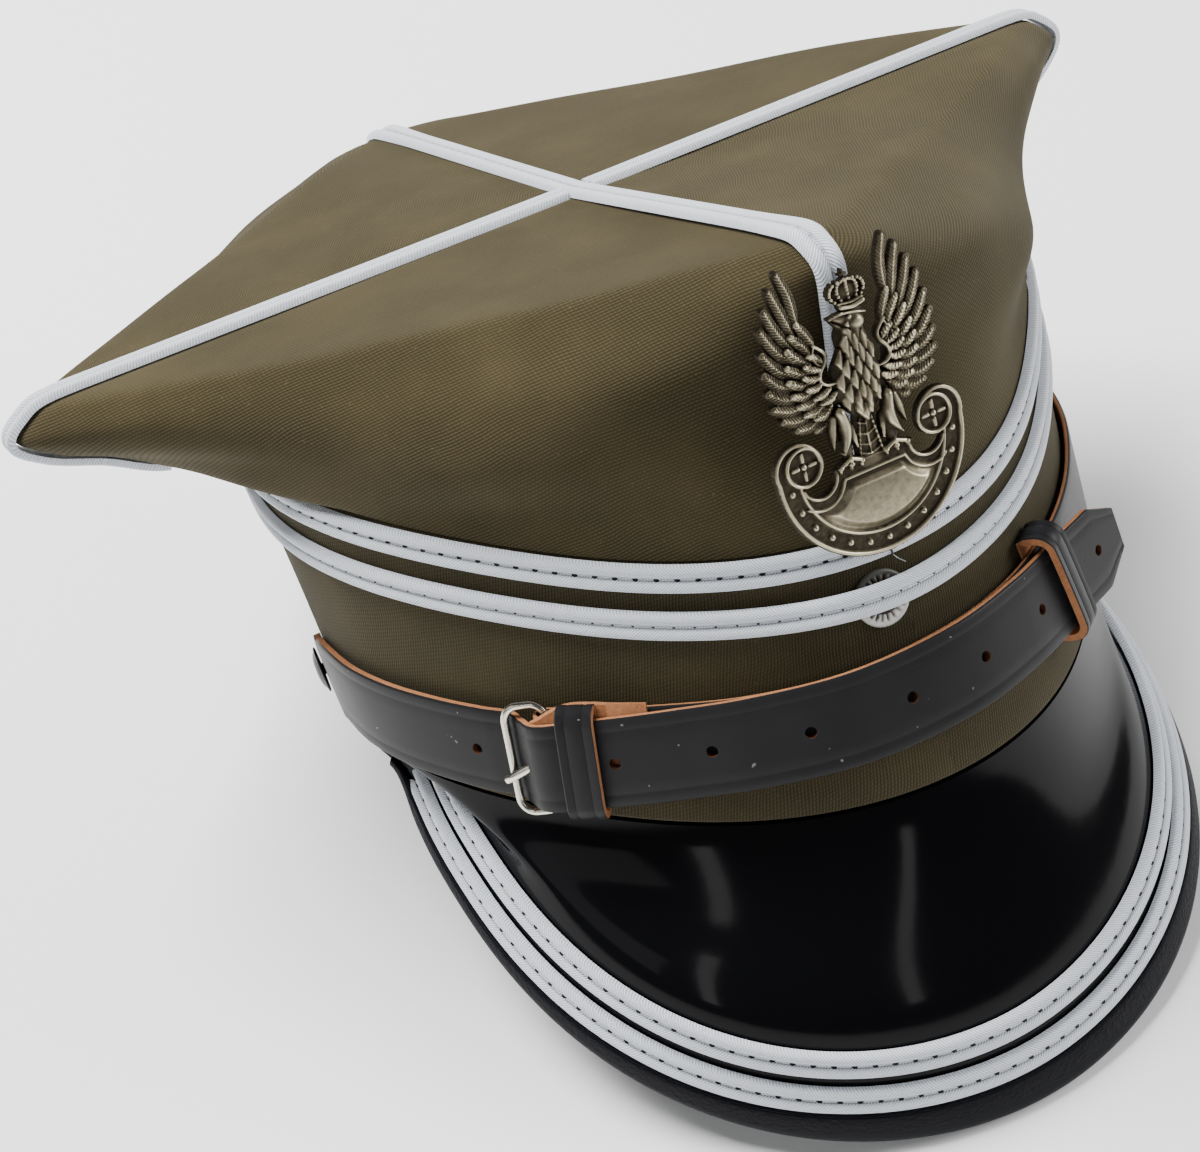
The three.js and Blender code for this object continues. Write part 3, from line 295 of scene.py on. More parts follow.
class Value:
    """Output of a shader node. Arithmetic on it adds math nodes."""

    def __init__(self, nodes, socket):
        self.nodes, self.socket = nodes, socket

    def apply(self, operation, *others):
        made = self.nodes.node("ShaderNodeMath", enumerate((self, *others)), operation=operation)
        return Value(self.nodes, made.outputs[0])

    __add__ = __radd__ = partialmethod(apply, "ADD")
    __sub__ = partialmethod(apply, "SUBTRACT")
    __mul__ = __rmul__ = partialmethod(apply, "MULTIPLY")
    __truediv__ = partialmethod(apply, "DIVIDE")
    __pow__ = partialmethod(apply, "POWER")
    __lt__ = partialmethod(apply, "LESS_THAN")
    __gt__ = partialmethod(apply, "GREATER_THAN")
    __abs__ = partialmethod(apply, "ABSOLUTE")


class Nodes:
    """A node material under construction."""

    def __init__(self, name):
        self.mat = bpy.data.materials.new(name)
        self.mat.use_nodes = True
        self.tree = self.mat.node_tree
        self.shader = self.tree.nodes["Principled BSDF"]

    def node(self, kind, inputs=(), **props):
        made = self.tree.nodes.new(kind)
        for key, value in props.items():
            setattr(made, key, value)
        for key, value in dict(inputs).items():
            self.put(made.inputs[key], value)
        return made

    def put(self, socket, value):
        if isinstance(value, Value):
            self.tree.links.new(value.socket, socket)
        elif isinstance(value, tuple) and socket.type == "RGBA":
            socket.default_value = (*value, 1)
        else:
            socket.default_value = value

    def blend(self, base, *layers):
        """Colour with layers (share, colour) laid over it in turn."""
        for share, colour in layers:
            made = self.node("ShaderNodeMix", data_type="RGBA")
            self.put(made.inputs["Factor"], share)
            for key, value in (("A", base), ("B", colour)):
                self.put(next(s for s in made.inputs if s.name == key and s.type == "RGBA"), value)
            base = Value(self, next(s for s in made.outputs if s.type == "RGBA"))
        return base

    def uv(self):
        """The surface's coordinates in mm, whole and as (u, v)."""
        coords = self.node("ShaderNodeUVMap", uv_map="cloth").outputs["UV"]
        split = self.node("ShaderNodeSeparateXYZ", {"Vector": Value(self, coords)})
        return [Value(self, socket) for socket in (coords, split.outputs["X"], split.outputs["Y"])]

    def stored(self, name):
        return Value(self, self.node("ShaderNodeAttribute", attribute_name=name).outputs["Fac"])

    def noise(self, scale, detail=2.0, rough=0.5, where=None):
        where = where or Value(self, self.node("ShaderNodeTexCoord").outputs["Object"])
        made = self.node("ShaderNodeTexNoise", dict(Vector=where, Scale=scale, Detail=detail, Roughness=rough))
        return Value(self, made.outputs["Fac"])

    def bump(self, height, strength, distance):
        made = self.node("ShaderNodeBump", dict(Height=height, Strength=strength, Distance=distance))
        return Value(self, made.outputs["Normal"])

    def set(self, **sockets):
        for key, value in sockets.items():
            self.put(self.shader.inputs[key.replace("_", " ")], value)
        return self.mat


def srgb(r, g, b):
    return tuple(((c / 255 + 0.055) / 1.055) ** 2.4 if c > 10 else c / 255 / 12.92 for c in (r, g, b))


def times(colour, factor, extra=0.0):
    return tuple(c * factor + extra for c in colour)


def cloth_material(name, light, dark, angle=18, pitch=0.58):
    """Wool twill: fine diagonal ribs, each broken into short yarns."""
    n = Nodes(name)
    coords, u, v = n.uv()
    cos, sin = math.cos(angle * DEG), math.sin(angle * DEG)
    line = (v * cos - u * sin + (n.noise(0.05, 2, 0.5, coords) - 0.5) * 2.4) / pitch
    rib = (line * TURN).apply("SINE") * 0.5 + 0.5
    offset = (line + 0.25).apply("FLOOR") * 0.37
    bead = (((u * cos + v * sin) / 0.85 + offset) * TURN).apply("SINE")
    broken = (bead * 0.26 + n.noise(1.1, 2, 0.6, coords) * 0.5 + 0.55) * rib
    patch = n.noise(0.03, 3, 0.6, coords)
    fleck = n.noise(1.2, 2, 0.7, coords) > 0.68
    colour = n.blend(dark, (broken * 0.72 + 0.12, light), ((patch - 0.42) * 0.9, times(light, 1.3)),
                     (fleck * 0.3, times(light, 1.9)))
    return n.set(Base_Color=colour, Roughness=0.93, Specular_IOR_Level=0.1, Sheen_Weight=0.1,
                 Sheen_Roughness=0.5, Sheen_Tint=(0.75, 0.7, 0.55), Normal=n.bump(broken, 0.42, 0.00018))


def braid_material(name, stitch=1.0, dot_size=1.0):
    """Silver soutache: herringbone threads, a running stitch down the groove, and painted shade darkening the groove;
    v is 0 at the middle.
    """
    n = Nodes(name)
    coords, u, v = n.uv()
    side = abs(v)
    thread = ((u + side * 1.1) * (TURN / 0.62)).apply("SINE") * 0.5 + 0.5
    fray = n.noise(2.2, 3, 0.7, coords)
    cell = abs((u / STITCH_PITCH).apply("FRACT") - 0.5)
    reach = ((cell / 0.15) ** 2 + (side / 0.3) ** 2).apply("SQRT")
    dot = (reach < (fray * 1.1 + 0.45) * dot_size) * stitch
    tick = (u / 0.55).apply("FRACT") > 0.45
    seam = (abs(side - 0.26) < 0.07) * tick * (0.75 * stitch)
    sewn = (side < 0.13) * (0.8 * stitch)
    # Painted shade: the braid's middle, down its groove, is darkened.
    groove = (side * -1.6 + 1.0).apply("MAXIMUM", 0.0)
    colour = n.blend(srgb(150, 157, 167), (thread * 0.6 + fray * 0.4, srgb(226, 229, 234)),
                     (groove * 0.45, srgb(96, 100, 110)), (seam, srgb(62, 64, 70)),
                     (sewn, srgb(236, 238, 240)), (dot, srgb(22, 22, 28)))
    height = thread * 0.6 + fray * 0.7 - dot * 1.4
    return n.set(Base_Color=colour, Roughness=0.62, Specular_IOR_Level=0.3, Sheen_Weight=0.15,
                 Normal=n.bump(height, 0.7, 0.00022))


def leather_material(name, colour, rough, grain=0.3, scale=900, gloss=0.25):
    """Smooth leather or lacquer: fine pores, broad changes of tone and a little dust."""
    n = Nodes(name)
    broad = n.noise(60, 3, 0.6)
    dust = n.noise(640, 1, 0.4) > 0.79
    tone = n.blend(colour, (broad * 0.6, times(colour, 1.7, 0.004)), (dust * 0.35, (0.35, 0.34, 0.32)))
    return n.set(Base_Color=tone, Roughness=broad * 0.16 + (rough - 0.08), Specular_IOR_Level=gloss,
                 Normal=n.bump(n.noise(scale, 4, 0.6), grain, 0.0001))


def tan_material(name, dark, light):
    """Raw cut edge and flesh side of the strap leather."""
    n = Nodes(name)
    fibre = n.noise(1500, 4, 0.75)
    colour = n.blend(dark, (fibre, light), ((n.noise(180, 3, 0.6) - 0.45) * 1.2, dark))
    return n.set(Base_Color=colour, Roughness=0.92, Specular_IOR_Level=0.15, Normal=n.bump(fibre, 0.7, 0.00025))


def patent_material():
    n = Nodes("patent_leather")
    return n.set(Base_Color=(0.0025, 0.0025, 0.003), Roughness=n.noise(45, 3, 0.55) * 0.08 + 0.07,
                 Specular_IOR_Level=0.1, Coat_Weight=0.01, Coat_Roughness=0.04,
                 Normal=n.bump(n.noise(260, 2, 0.5), 0.05, 0.0002))


def edging_material():
    """Binding of the peak: v = 0 at its seam; pebbled grain behind the seam, smooth over the nose."""
    n = Nodes("edging_leather")
    coords, u, v = n.uv()
    stretched = n.node("ShaderNodeMapping", dict(Vector=coords, Scale=(0.55, 1, 1))).outputs[0]
    pebble = n.noise(1.5, 3, 0.7, Value(n, stretched))
    inside = (v > 0.9) * (v < 4.2)
    stitch = (abs(v - 0.7) < 0.16) * ((u / 1.3).apply("FRACT") > 0.35)
    height = pebble * (inside * 0.9 + 0.25) + stitch * -0.8
    colour = n.blend((0.006, 0.006, 0.008), (stitch * 0.6, (0.002, 0.002, 0.003)))
    return n.set(Base_Color=colour, Roughness=pebble * 0.2 + 0.36, Specular_IOR_Level=0.1,
                 Normal=n.bump(height, 0.8, 0.0005))


def nickel_material(colour):
    n = Nodes("nickel")
    worn = n.noise(300, 3, 0.6)
    tone = n.blend(colour, (n.noise(70, 2, 0.5) * 0.5, times(colour, 0.72)))
    return n.set(Base_Color=tone, Metallic=1.0, Roughness=worn * 0.18 + 0.15, Normal=n.bump(worn, 0.08, 0.0001))


def badge_material():
    """Aged silver: the stored cavity value darkens the hollows and polishes the high spots."""
    n = Nodes("aged_silver")
    speck = n.noise(900, 3, 0.6)
    worn = n.stored("cavity") + (speck - 0.5) * 0.25
    ramp = n.node("ShaderNodeValToRGB", {"Fac": worn})
    elements = ramp.color_ramp.elements
    elements[0].position, elements[0].color = 0.28, (*srgb(34, 31, 27), 1)
    elements[1].position, elements[1].color = 0.80, (*srgb(206, 196, 168), 1)
    elements.new(0.55).color = (*srgb(108, 100, 82), 1)
    colour = n.blend(Value(n, ramp.outputs["Color"]), (n.noise(120, 3, 0.6) * 0.45, srgb(96, 86, 64)))
    return n.set(Base_Color=colour, Metallic=0.9, Roughness=worn * -0.28 + 0.6,
                 Normal=n.bump(speck, 0.12, 0.00008))


def eyelet_material():
    """Pleated silver: a stored value paints the shade that the lower braid casts on the disc's upper part, and the
    stored gap value darkens it too.
    """
    n = Nodes("pleated_silver")
    worn = n.noise(700, 3, 0.6)
    # Painted shade: the disc's upper part, under the lower braid, goes dark olive-grey.
    colour = n.blend(srgb(168, 166, 160), (worn, srgb(216, 215, 210)),
                     (n.stored("painted_braid_shade") * 0.93, srgb(44, 42, 34)), (n.stored("gap") * 0.97, srgb(44, 20, 14)))
    return n.set(Base_Color=colour, Metallic=0.35, Roughness=0.5, Normal=n.bump(worn, 0.2, 0.0001))


MATS = {
    "cloth": cloth_material("khaki_cloth", srgb(74, 66, 45), srgb(33, 30, 21)),
    "band_cloth": cloth_material("khaki_band_cloth", srgb(70, 63, 44), srgb(31, 29, 21), angle=80),
    "lining": cloth_material("inner_cloth", srgb(70, 62, 42), srgb(36, 32, 22), pitch=0.8),
    "braid": braid_material("silver_braid"),
    "sewn_braid": braid_material("silver_sewn_braid", dot_size=0.5),
    "seam_braid": braid_material("silver_seam_braid", stitch=0.3),
    "patent": patent_material(),
    "underside": leather_material("peak_underside", srgb(46, 60, 44), 0.55, scale=500),
    "edging": edging_material(),
    "strap": leather_material("strap_leather", srgb(25, 25, 26), 0.44, gloss=0.15),
    "tan": tan_material("raw_leather", srgb(112, 70, 45), srgb(190, 134, 94)),
    # Painted shade: a much darker copy of the raw leather for the walls of the punched holes, where shade falls
    # inside them.
    "hole": tan_material("punched_leather_painted_shade", srgb(30, 18, 12), srgb(110, 70, 46)),
    "nickel": nickel_material(srgb(222, 216, 200)),
    "lacquer": leather_material("black_lacquer", srgb(24, 24, 25), 0.35, grain=0.05, scale=300),
    "badge": badge_material(),
    "eyelet": eyelet_material(),
}


# ---------------------------------------------------------------- band and braids

def series(terms, angle):
    return sum(term * np.cos(k * np.asarray(angle)) for k, term in enumerate(terms))


def band_point(angle, level, off=0.0):
    """Point over the band's outer face: angle round it from the front, level up it and off it, in mm."""
    angle, level, off = np.broadcast_arrays(np.asarray(angle, float), level, off)
    radius = BAND_RADIUS * series(BAND_OVAL, angle) + level * series(BAND_TAPER, angle) + off
    wave = BAND_WAVE_RIM + BAND_WAVE_RISE * level
    return np.stack([radius * np.sin(angle), -radius * np.cos(angle), level - wave * np.cos(2 * angle)], -1)


def band_normal(angle, level=0.0):
    around = band_point(angle + 0.01, level) - band_point(angle - 0.01, level)
    upward = band_point(angle, level + 1.0) - band_point(angle, level - 1.0)
    return unit(np.cross(around, upward))


def band_angle(points):
    return np.arctan2(points[:, 0], -points[:, 1])


def make_band():
    outer = [(level, 0.0) for level in np.linspace(1.0, BAND_HEIGHT, 14)]
    inner = [(level, -CLOTH) for level in np.linspace(BAND_HEIGHT, 1.0, 8)] + [(0.25, -CLOTH + 0.4)]
    profile = [(0.25, -0.4)] + outer + inner + [(0.0, -1.0)]
    loops = np.stack([band_point(round_turns(360), level, off) for level, off in profile], 1)
    kinds = [0] * (len(outer) + 1) + [1] * len(inner) + [0]
    loft("band", loops, ["band_cloth", "lining"], "cloth", closed=True, kinds=kinds, sharp=45)


def braid_section():
    """Two round humps with a groove between them, over a flat back."""
    half = BRAID_WIDTH / 2
    section = [(-half * 0.96, 0.0), (half * 0.96, 0.0)]
    for x in np.linspace(1, -1, 19):
        across = abs(2 * x)
        if across < 1:
            section.append((x * half, BRAID_THICK - BRAID_GROOVE * (1 - across) ** 1.6))
        else:
            section.append((x * half, BRAID_THICK * max(1 - (across - 1) ** 2, 0) ** 0.4))
    return section


def make_braid(name, points, ups, closed=False, scale=None, material="braid"):
    section = braid_section()
    u = run_along(np.vstack([points, points[:1]]) if closed else points)
    if closed:
        u = u * (round(u[-1] / STITCH_PITCH) * STITCH_PITCH / u[-1])
    uv = grid_uv(u, [x for x, _ in section + section[:1]])
    loft_along(name, points, ups, section, [material], "silver_braid", closed, scale, uv=uv, sharp=70)


def make_ring_braids():
    angles = round_turns(400)
    for ring in RING_BRAIDS:
        over_eyelet = bell(np.sin((angles - EYELET_ANGLE * DEG) / 2), 0.09)
        points = band_point(angles, ring["level"], GAP + ring["lift"] * over_eyelet)
        make_braid(ring["name"], points, band_normal(angles, ring["level"]), True, material=ring["material"])


# ---------------------------------------------------------------- crown

FINE_COLUMNS = 45
SHARES = np.linspace(0, 1, FINE_COLUMNS + 1)
SPAN_STEPS, TOP_STEPS = 12, 40
RIM_ROW = SPAN_STEPS * (len(CROWN_SECTIONS) - 1)
SEAM_START = 11


def corner_outline(end, side, end_bend, side_bend, setback):
    """Quarter outline of two bends and the line between them, as a function of a share of its length."""
    end_centre = np.array([0, -(end - end_bend)])
    side_centre = np.array([side - side_bend, setback])
    between = side_centre - end_centre
    length = np.linalg.norm(between)
    along = between / length
    lean = (end_bend - side_bend) / length
    across = np.array([along[1], -along[0]]) * math.sqrt(1 - lean * lean) + along * lean
    turn = math.atan2(across[1], across[0])
    first = end_bend * (turn + TURN / 4)
    straight = math.sqrt(length ** 2 - (end_bend - side_bend) ** 2)
    total = first + straight - side_bend * turn

    def at(share):
        s = share * total
        if s <= first:
            centre, bend, a = end_centre, end_bend, -TURN / 4 + s / end_bend
        elif s <= first + straight:
            return mix(end_centre + end_bend * across, side_centre + side_bend * across, (s - first) / straight)
        else:
            centre, bend, a = side_centre, side_bend, turn + (s - first - straight) / side_bend
        return centre + bend * np.array([math.cos(a), math.sin(a)])

    return at


def quarter_section(row, to_back, sign):
    flip, end = (-1, "back") if to_back else (1, "front")

    def outline(r):
        return corner_outline(r[end], r["side"], r["end_bend"], r["side_bend"], flip * SIDE_SETBACK)

    nose, at = outline(CROWN_SECTIONS[NOSE_ROW]), outline(row)
    out = []
    for share in SHARES:
        guide, p = nose(share), at(share)
        oval = band_point(math.atan2(guide[0], -flip * guide[1]), BAND_HEIGHT + GAP)
        x, y = mix(oval[0], p[0], row["blend"]), mix(oval[1], p[1] * flip, row["blend"])
        sag = row["sag"] * 4 * share * (1 - share) * (BACK_SAG if to_back else 1)
        z = oval[2] if row["blend"] == 0 else mix(row["z_" + end], row["z_side"], share) - sag
        out.append((sign * x, y, z + row["roll"] * sign * x))
    return out


def crown_skin():
    """Rows of points round the whole crown, from its lower edge to the middle of its top."""
    rings = []
    for row in CROWN_SECTIONS:
        ring = []
        for index, quarter in enumerate(QUARTERS):
            ring += quarter_section(row, quarter["to_back"], quarter["sign"])[::-1 if index % 2 else 1][:-1]
        rings.append(ring)
    rings = np.array(rings)
    centre = np.array([0, 0, CROWN_TOP])
    lines = []
    for j in range(rings.shape[1]):
        flank = spline(rings[:, j], RIM_ROW + 1)
        line = np.vstack([flank, mix(flank[-1], centre, np.linspace(0, 1, TOP_STEPS + 1)[1:, None])])
        # The rim is a soft fold: each line is eased over a few mm there.
        run = run_along(line)
        near = bell(run - run[RIM_ROW], 7)[:, None]
        for _ in range(5):
            eased = line.copy()
            eased[1:-1] = (line[:-2] + 2 * line[1:-1] + line[2:]) / 4
            line = mix(line, eased, near)
        lines.append(line)
    return np.array(lines).transpose(1, 0, 2)


SKIN = crown_skin()
SKIN_NORMALS = unit(np.cross(np.roll(SKIN, -1, 1) - np.roll(SKIN, 1, 1), np.gradient(SKIN, axis=0)))
SKIN_NORMALS[0, :, 2] = 0
SKIN_NORMALS[0] = unit(SKIN_NORMALS[0])
SKIN_NORMALS[-1] = (0, 0, 1)


def ripple(points, seed):
    """Gentle unevenness of pressed cloth, in mm."""
    x, y, z = points[..., 0], points[..., 1], points[..., 2]
    return (0.28 * np.sin(x / 17 + 0.6 * np.sin(y / 23 + seed) + seed)
            + 0.2 * np.sin(y / 13 - z / 19 + 1.7 * seed) + 0.14 * np.sin((x + z) / 7.5 + 2.3 * seed))


def quarter_uv(skin):
    """Cloth coordinates in mm: flat on the flank, and carried on over the rim across the top."""
    middle = FINE_COLUMNS // 2
    chord = unit((skin[30, -1] - skin[30, 0]) * np.array([1, 1, 0]))
    fall = skin[RIM_ROW, middle] - skin[0, middle]
    fall = unit(fall - chord * (fall @ chord))
    inward = np.cross((0, 0, 1), chord)
    inward = inward * (1 if inward @ (skin[-1, middle] - skin[RIM_ROW, middle]) > 0 else -1)
    flat = np.stack([skin[:-1] @ chord, skin[:-1] @ fall], -1)
    flat[RIM_ROW:, :, 1] = flat[RIM_ROW, :, 1] + (skin[RIM_ROW:-1] - skin[RIM_ROW]) @ inward
    return np.concatenate([flat, flat[::-1], flat[:1]]).transpose(1, 0, 2)


def make_crown():
    rows, columns = SKIN.shape[:2]
    low = smoothstep(np.arange(rows) / 14.0)[:, None, None]
    free = np.minimum(smoothstep(SHARES / 0.16), smoothstep((1 - SHARES) / 0.16))[None, :, None]
    # The cloth dips a little into each seam under its braid.
    dip = bell(np.minimum(SHARES, 1 - SHARES), 0.02)[None, :, None] * 0.25
    kinds = [0] * (rows - 1) + [1] * (rows - 2) + [0]
    for index, quarter in enumerate(QUARTERS):
        pick = (index * FINE_COLUMNS + np.arange(FINE_COLUMNS + 1)) % columns
        skin = SKIN[:, pick] + np.array([quarter["sign"], 1 if quarter["to_back"] else -1, 0]) * GAP / 2
        normals = SKIN_NORMALS[:, pick]
        skin = skin + normals * (ripple(skin, index + 1.0)[..., None] * free - dip) * low
        lining = skin - normals * CLOTH
        loops = np.concatenate([skin[:-1], lining[:-1][::-1]]).transpose(1, 0, 2)
        loft(quarter["name"], loops, ["cloth", "lining"], "cloth", kinds=kinds, uv=quarter_uv(skin), cap="strip",
             sharp=60)


def seam_course(column):
    rows = np.arange(SEAM_START, len(SKIN) - 1)
    return SKIN[rows, column] + SKIN_NORMALS[rows, column] * GAP, SKIN_NORMALS[rows, column]


def make_seam_braids():
    front, front_up = seam_course(0)
    back, back_up = seam_course(2 * FINE_COLUMNS)
    centre = SKIN[-1, 0] + np.array([0, 0, GAP])
    points = np.vstack([front, centre[None], back[::-1]])
    # The braid flattens and spreads where it folds over the two noses.
    scale = np.ones(len(points))
    for bend in (front[RIM_ROW - SEAM_START], back[RIM_ROW - SEAM_START]):
        scale += 0.24 * bell(np.linalg.norm(points - bend, axis=1), 11)
    make_braid("seam_braid_front_back", points, np.vstack([front_up, [[0, 0, 1]], back_up[::-1]]), scale=scale,
               material="seam_braid")
    stop = BRAID_WIDTH / 2 + 0.05
    for name, column in (("seam_braid_right", FINE_COLUMNS), ("seam_braid_left", 3 * FINE_COLUMNS)):
        points, ups = seam_course(column)
        last = int(np.max(np.nonzero(np.abs(points[:, 0]) > stop)))
        share = (abs(points[last, 0]) - stop) / max(abs(points[last, 0]) - abs(centre[0]), 1e-6)
        make_braid(name, np.vstack([points[:last + 1], mix(points[last], centre, share)]),
                   np.vstack([ups[:last + 1], [[0, 0, 1]]]), material="seam_braid")


# ---------------------------------------------------------------- peak

def signed_power(value, power):
    return math.copysign(abs(value) ** power, value)


def corner_turn(angle):
    past = abs(angle) / DEG - PEAK_REACH["corner"]
    return float(smoothstep(past / (PEAK_REACH["plate"] - PEAK_REACH["corner"])))


def peak_seat(angle):
    """Angle on the band at which this place of the peak's edge is rooted."""
    return angle * PEAK["band_angle"] / PEAK_REACH["plate"]


def edging_width(angle):
    plain = mix(EDGING_SIDE, EDGING_WIDTH, max(math.cos(angle), 0) ** 1.5)
    return mix(plain, EDGING_LEATHER + GAP + 0.6, corner_turn(angle))


def peak_edge(angle):
    depth = signed_power(math.cos(angle), PEAK["roundness"])
    x = PEAK["x"] + PEAK["half_width"] * signed_power(math.sin(angle), PEAK["width_power"])
    edge = np.array([x, PEAK["y"] - PEAK["forward"] * depth, PEAK["z"] - PEAK["drop"] * depth + PEAK["roll"] * x])
    return mix(edge, band_point(peak_seat(angle), -3.2, -1.2), corner_turn(angle))


def peak_frame(angle, inward=0.0, off=0.0):
    """Point over the peak's outer margin, with the directions inward and up."""
    along = unit(peak_edge(angle + 0.01) - peak_edge(angle - 0.01))
    plane = unit(np.array([0, -PEAK["drop"], PEAK["forward"]]))
    tilt = sum(term * math.sin(angle) ** k for k, term in enumerate(PEAK_TILT)) * DEG
    side = unit(np.cross(plane, along)) * math.cos(tilt) + plane * math.sin(tilt)
    up = unit(np.cross(along, side))
    return peak_edge(angle) + side * inward + up * off, side, up


def peak_angles(left, right, count):
    return np.linspace(-left * DEG, right * DEG, count)


def peak_column(angle):
    """Line over the peak from under its edging to its root inside the band."""
    seat = peak_seat(angle)
    tuck = CLOTH + GAP + 0.4
    rim = band_point(seat, -0.75, -0.6)
    edge, side, _ = peak_frame(angle)
    room = (rim[2] - edge[2] - 1) / max(side[2], 0.2)
    reach = min(max(room, 1), 2 * BRAID_WIDTH + PEAK_BRAID_GAP + 0.6)
    lip = edging_width(angle) - EDGING_LEATHER - GAP
    start = edge + side * reach
    leave = unit(band_normal(seat) * PEAK["leave"] + np.array([0, 0, -1]))
    third = np.linalg.norm(start - rim) / 3
    bend = [start * (1 - t) ** 3 + 3 * (start + side * third) * t * (1 - t) ** 2
            + 3 * (rim + leave * third) * t * t * (1 - t) + rim * t ** 3 for t in np.linspace(0, 1, 17)]
    flat = [edge + side * run for run in (-lip, -lip * 0.5, 0, reach * 0.33, reach * 0.67)]
    root = [band_point(seat, level, off) for level, off in ((-0.55, -1.6), (0, -tuck), (2, -tuck), (5, -tuck))]
    return flat + bend + root


def make_peak():
    angles = peak_angles(PEAK_REACH["plate"], PEAK_REACH["plate"], 181)
    skin = np.array([peak_column(angle) for angle in angles])
    normals = unit(np.cross(np.gradient(skin, axis=0), np.gradient(skin, axis=1)))
    normals[:, :2] = np.array([peak_frame(angle)[2] for angle in angles])[:, None]
    lining = skin - normals * PEAK["thickness"]
    count = skin.shape[1]
    loft("peak", np.concatenate([skin, lining[:, ::-1]], 1), ["patent", "underside"], "patent_leather",
         kinds=[0] * count + [1] * (count - 1) + [0], cap="strip")


def make_peak_braid(name, inward, left, right, hidden):
    """Braid along the peak's edge; both ends run straight on for the stretch that the chin strap hides."""
    stations = [peak_frame(angle, inward, GAP) for angle in peak_angles(left, right, 260)]
    points, ups = np.array([s[0] for s in stations]), np.array([s[2] for s in stations])
    count = 8
    steps = np.linspace(0, hidden, count + 1)[1:, None]
    before = points[0] + unit(points[0] - points[2]) * steps[::-1]
    after = points[-1] + unit(points[-1] - points[-3]) * steps
    make_braid(name, np.vstack([before, points, after]),
               np.vstack([np.repeat(ups[:1], count, 0), ups, np.repeat(ups[-1:], count, 0)]))


def edging_section(width):
    """Leather folded over the edge, with a seam along its inner side; then the fold's inner face."""
    leather = EDGING_LEATHER
    top, bottom = GAP + leather, -PEAK["thickness"] - GAP - leather
    middle, half = (top + bottom) / 2, (top - bottom) / 2
    nose, inner_nose = width - half * 0.8, width - leather
    outer = [(0.0, top - 0.35), (-0.3, top), (-0.55, top - 0.18), (-0.8, top), (-nose * 0.5, top + 0.05)]
    outer += [(-nose - half * 0.8 * math.sin(t), middle + half * math.cos(t)) for t in np.linspace(0, math.pi, 11)]
    return outer + [(-nose * 0.5, bottom), (0.0, bottom), (0.0, bottom + leather), (-inner_nose, bottom + leather),
                    (-inner_nose, top - leather), (0.0, top - leather)]


def make_edging():
    loops, v_rows = [], []
    for angle in peak_angles(PEAK_REACH["edging_left"], PEAK_REACH["edging_right"], 237):
        point, side, up = peak_frame(angle, -GAP)
        section = edging_section(edging_width(angle))
        loops.append([point + side * x + up * y for x, y in section])
        v_rows.append(run_along(np.array(section + section[:1])))
    v = np.array(v_rows)
    u = np.broadcast_to(run_along(np.array(loops)[:, 0])[:, None], v.shape)
    loft("peak_edging", loops, ["edging"], "edging_leather", uv=np.stack([u, v], -1))


# ---------------------------------------------------------------- chin strap

def strap_frames(points, reverse=False):
    along = unit(np.gradient(points, axis=0))
    angle = band_angle(points)
    down = (band_point(angle, 10.0) - band_point(angle, 11.0)) * (-1 if reverse else 1)
    side = unit(down - along * (down * along).sum(1, keepdims=True))
    return side, unit(np.cross(side, along))


def strap_line(rows, steps, off=STRAP_THICK / 2):
    knots = [band_point(row["angle"] * DEG, row["level"], row["lift"] + off) for row in rows]
    return spline(knots, (len(rows) - 1) * steps + 1)


def strap_section(thick, crease):
    """Rounded flat section: outer face with a pressed crease inside each edge; then raw sides and back."""
    half, t = STRAP_WIDTH / 2, thick / 2
    face = [(half - 0.15, t - 0.14), (half - 0.45, t), (half - 2.2, t), (half - 2.45, t - crease), (half - 2.7, t),
            (half * 0.45, t)]
    top = [(-x, y) for x, y in face] + [(0.0, t)] + face[::-1]
    back = [(half, t - 0.42), (half, -t + 0.2), (half - 0.2, -t)]
    back += [(-x, y) for x, y in back[::-1]]
    return top + back, [0] * len(top) + [1] * (len(back) - 1) + [0]


def frame_at(points, side, up, degrees):
    i = int(np.argmin(np.abs(band_angle(points) / DEG - degrees)))
    return points[i], side[i], up[i]


def cut_holes(obj, places, radius, length):
    """Punches round holes through a strap; their raw walls get a darker raw-leather copy that paints the shade inside
    them.
    """
    bm = bmesh.new()
    for point, _, up in places:
        turn = Vector(REST_TURN @ up).to_track_quat("Z", "Y").to_matrix().to_4x4()
        bmesh.ops.create_cone(bm, cap_ends=True, segments=28, radius1=radius / 1000, radius2=radius / 1000,
                              depth=length / 1000, matrix=Matrix.Translation(Vector(place(point))) @ turn)
    mesh = bpy.data.meshes.new("punch")
    mesh.materials.append(MATS["hole"])
    bm.to_mesh(mesh)
    bm.free()
    cutter = link("punch", mesh)
    modifier = obj.modifiers.new("holes", "BOOLEAN")
    modifier.operation = "DIFFERENCE"
    modifier.object = cutter
    modifier.solver = "EXACT"
    modifier.material_mode = "TRANSFER"
    bpy.context.view_layer.update()
    depsgraph = bpy.context.evaluated_depsgraph_get()
    cut = bpy.data.meshes.new_from_object(obj.evaluated_get(depsgraph), depsgraph=depsgraph)
    obj.modifiers.clear()
    cut.name = obj.data.name
    obj.data = cut
    bpy.data.objects.remove(cutter)


def make_strap(name, points, thick, crease, scale, thin=None, reverse=False):
    """Strap along points, narrowed near the button at its first point."""
    past = np.linalg.norm(points - points[0], axis=1) - NECK_LENGTH
    scale = np.minimum(scale, mix(NECK_WIDTH, 1.0, smoothstep(past / NECK_SHOULDER)))
    side, up = strap_frames(points, reverse)
    section, kinds = strap_section(thick, crease)
    obj = loft(name, sweep(points, side, up, section, scale=scale, thin=thin), ["strap", "tan"], "strap_leather",
               kinds=kinds, sharp=40)
    return obj, side, up


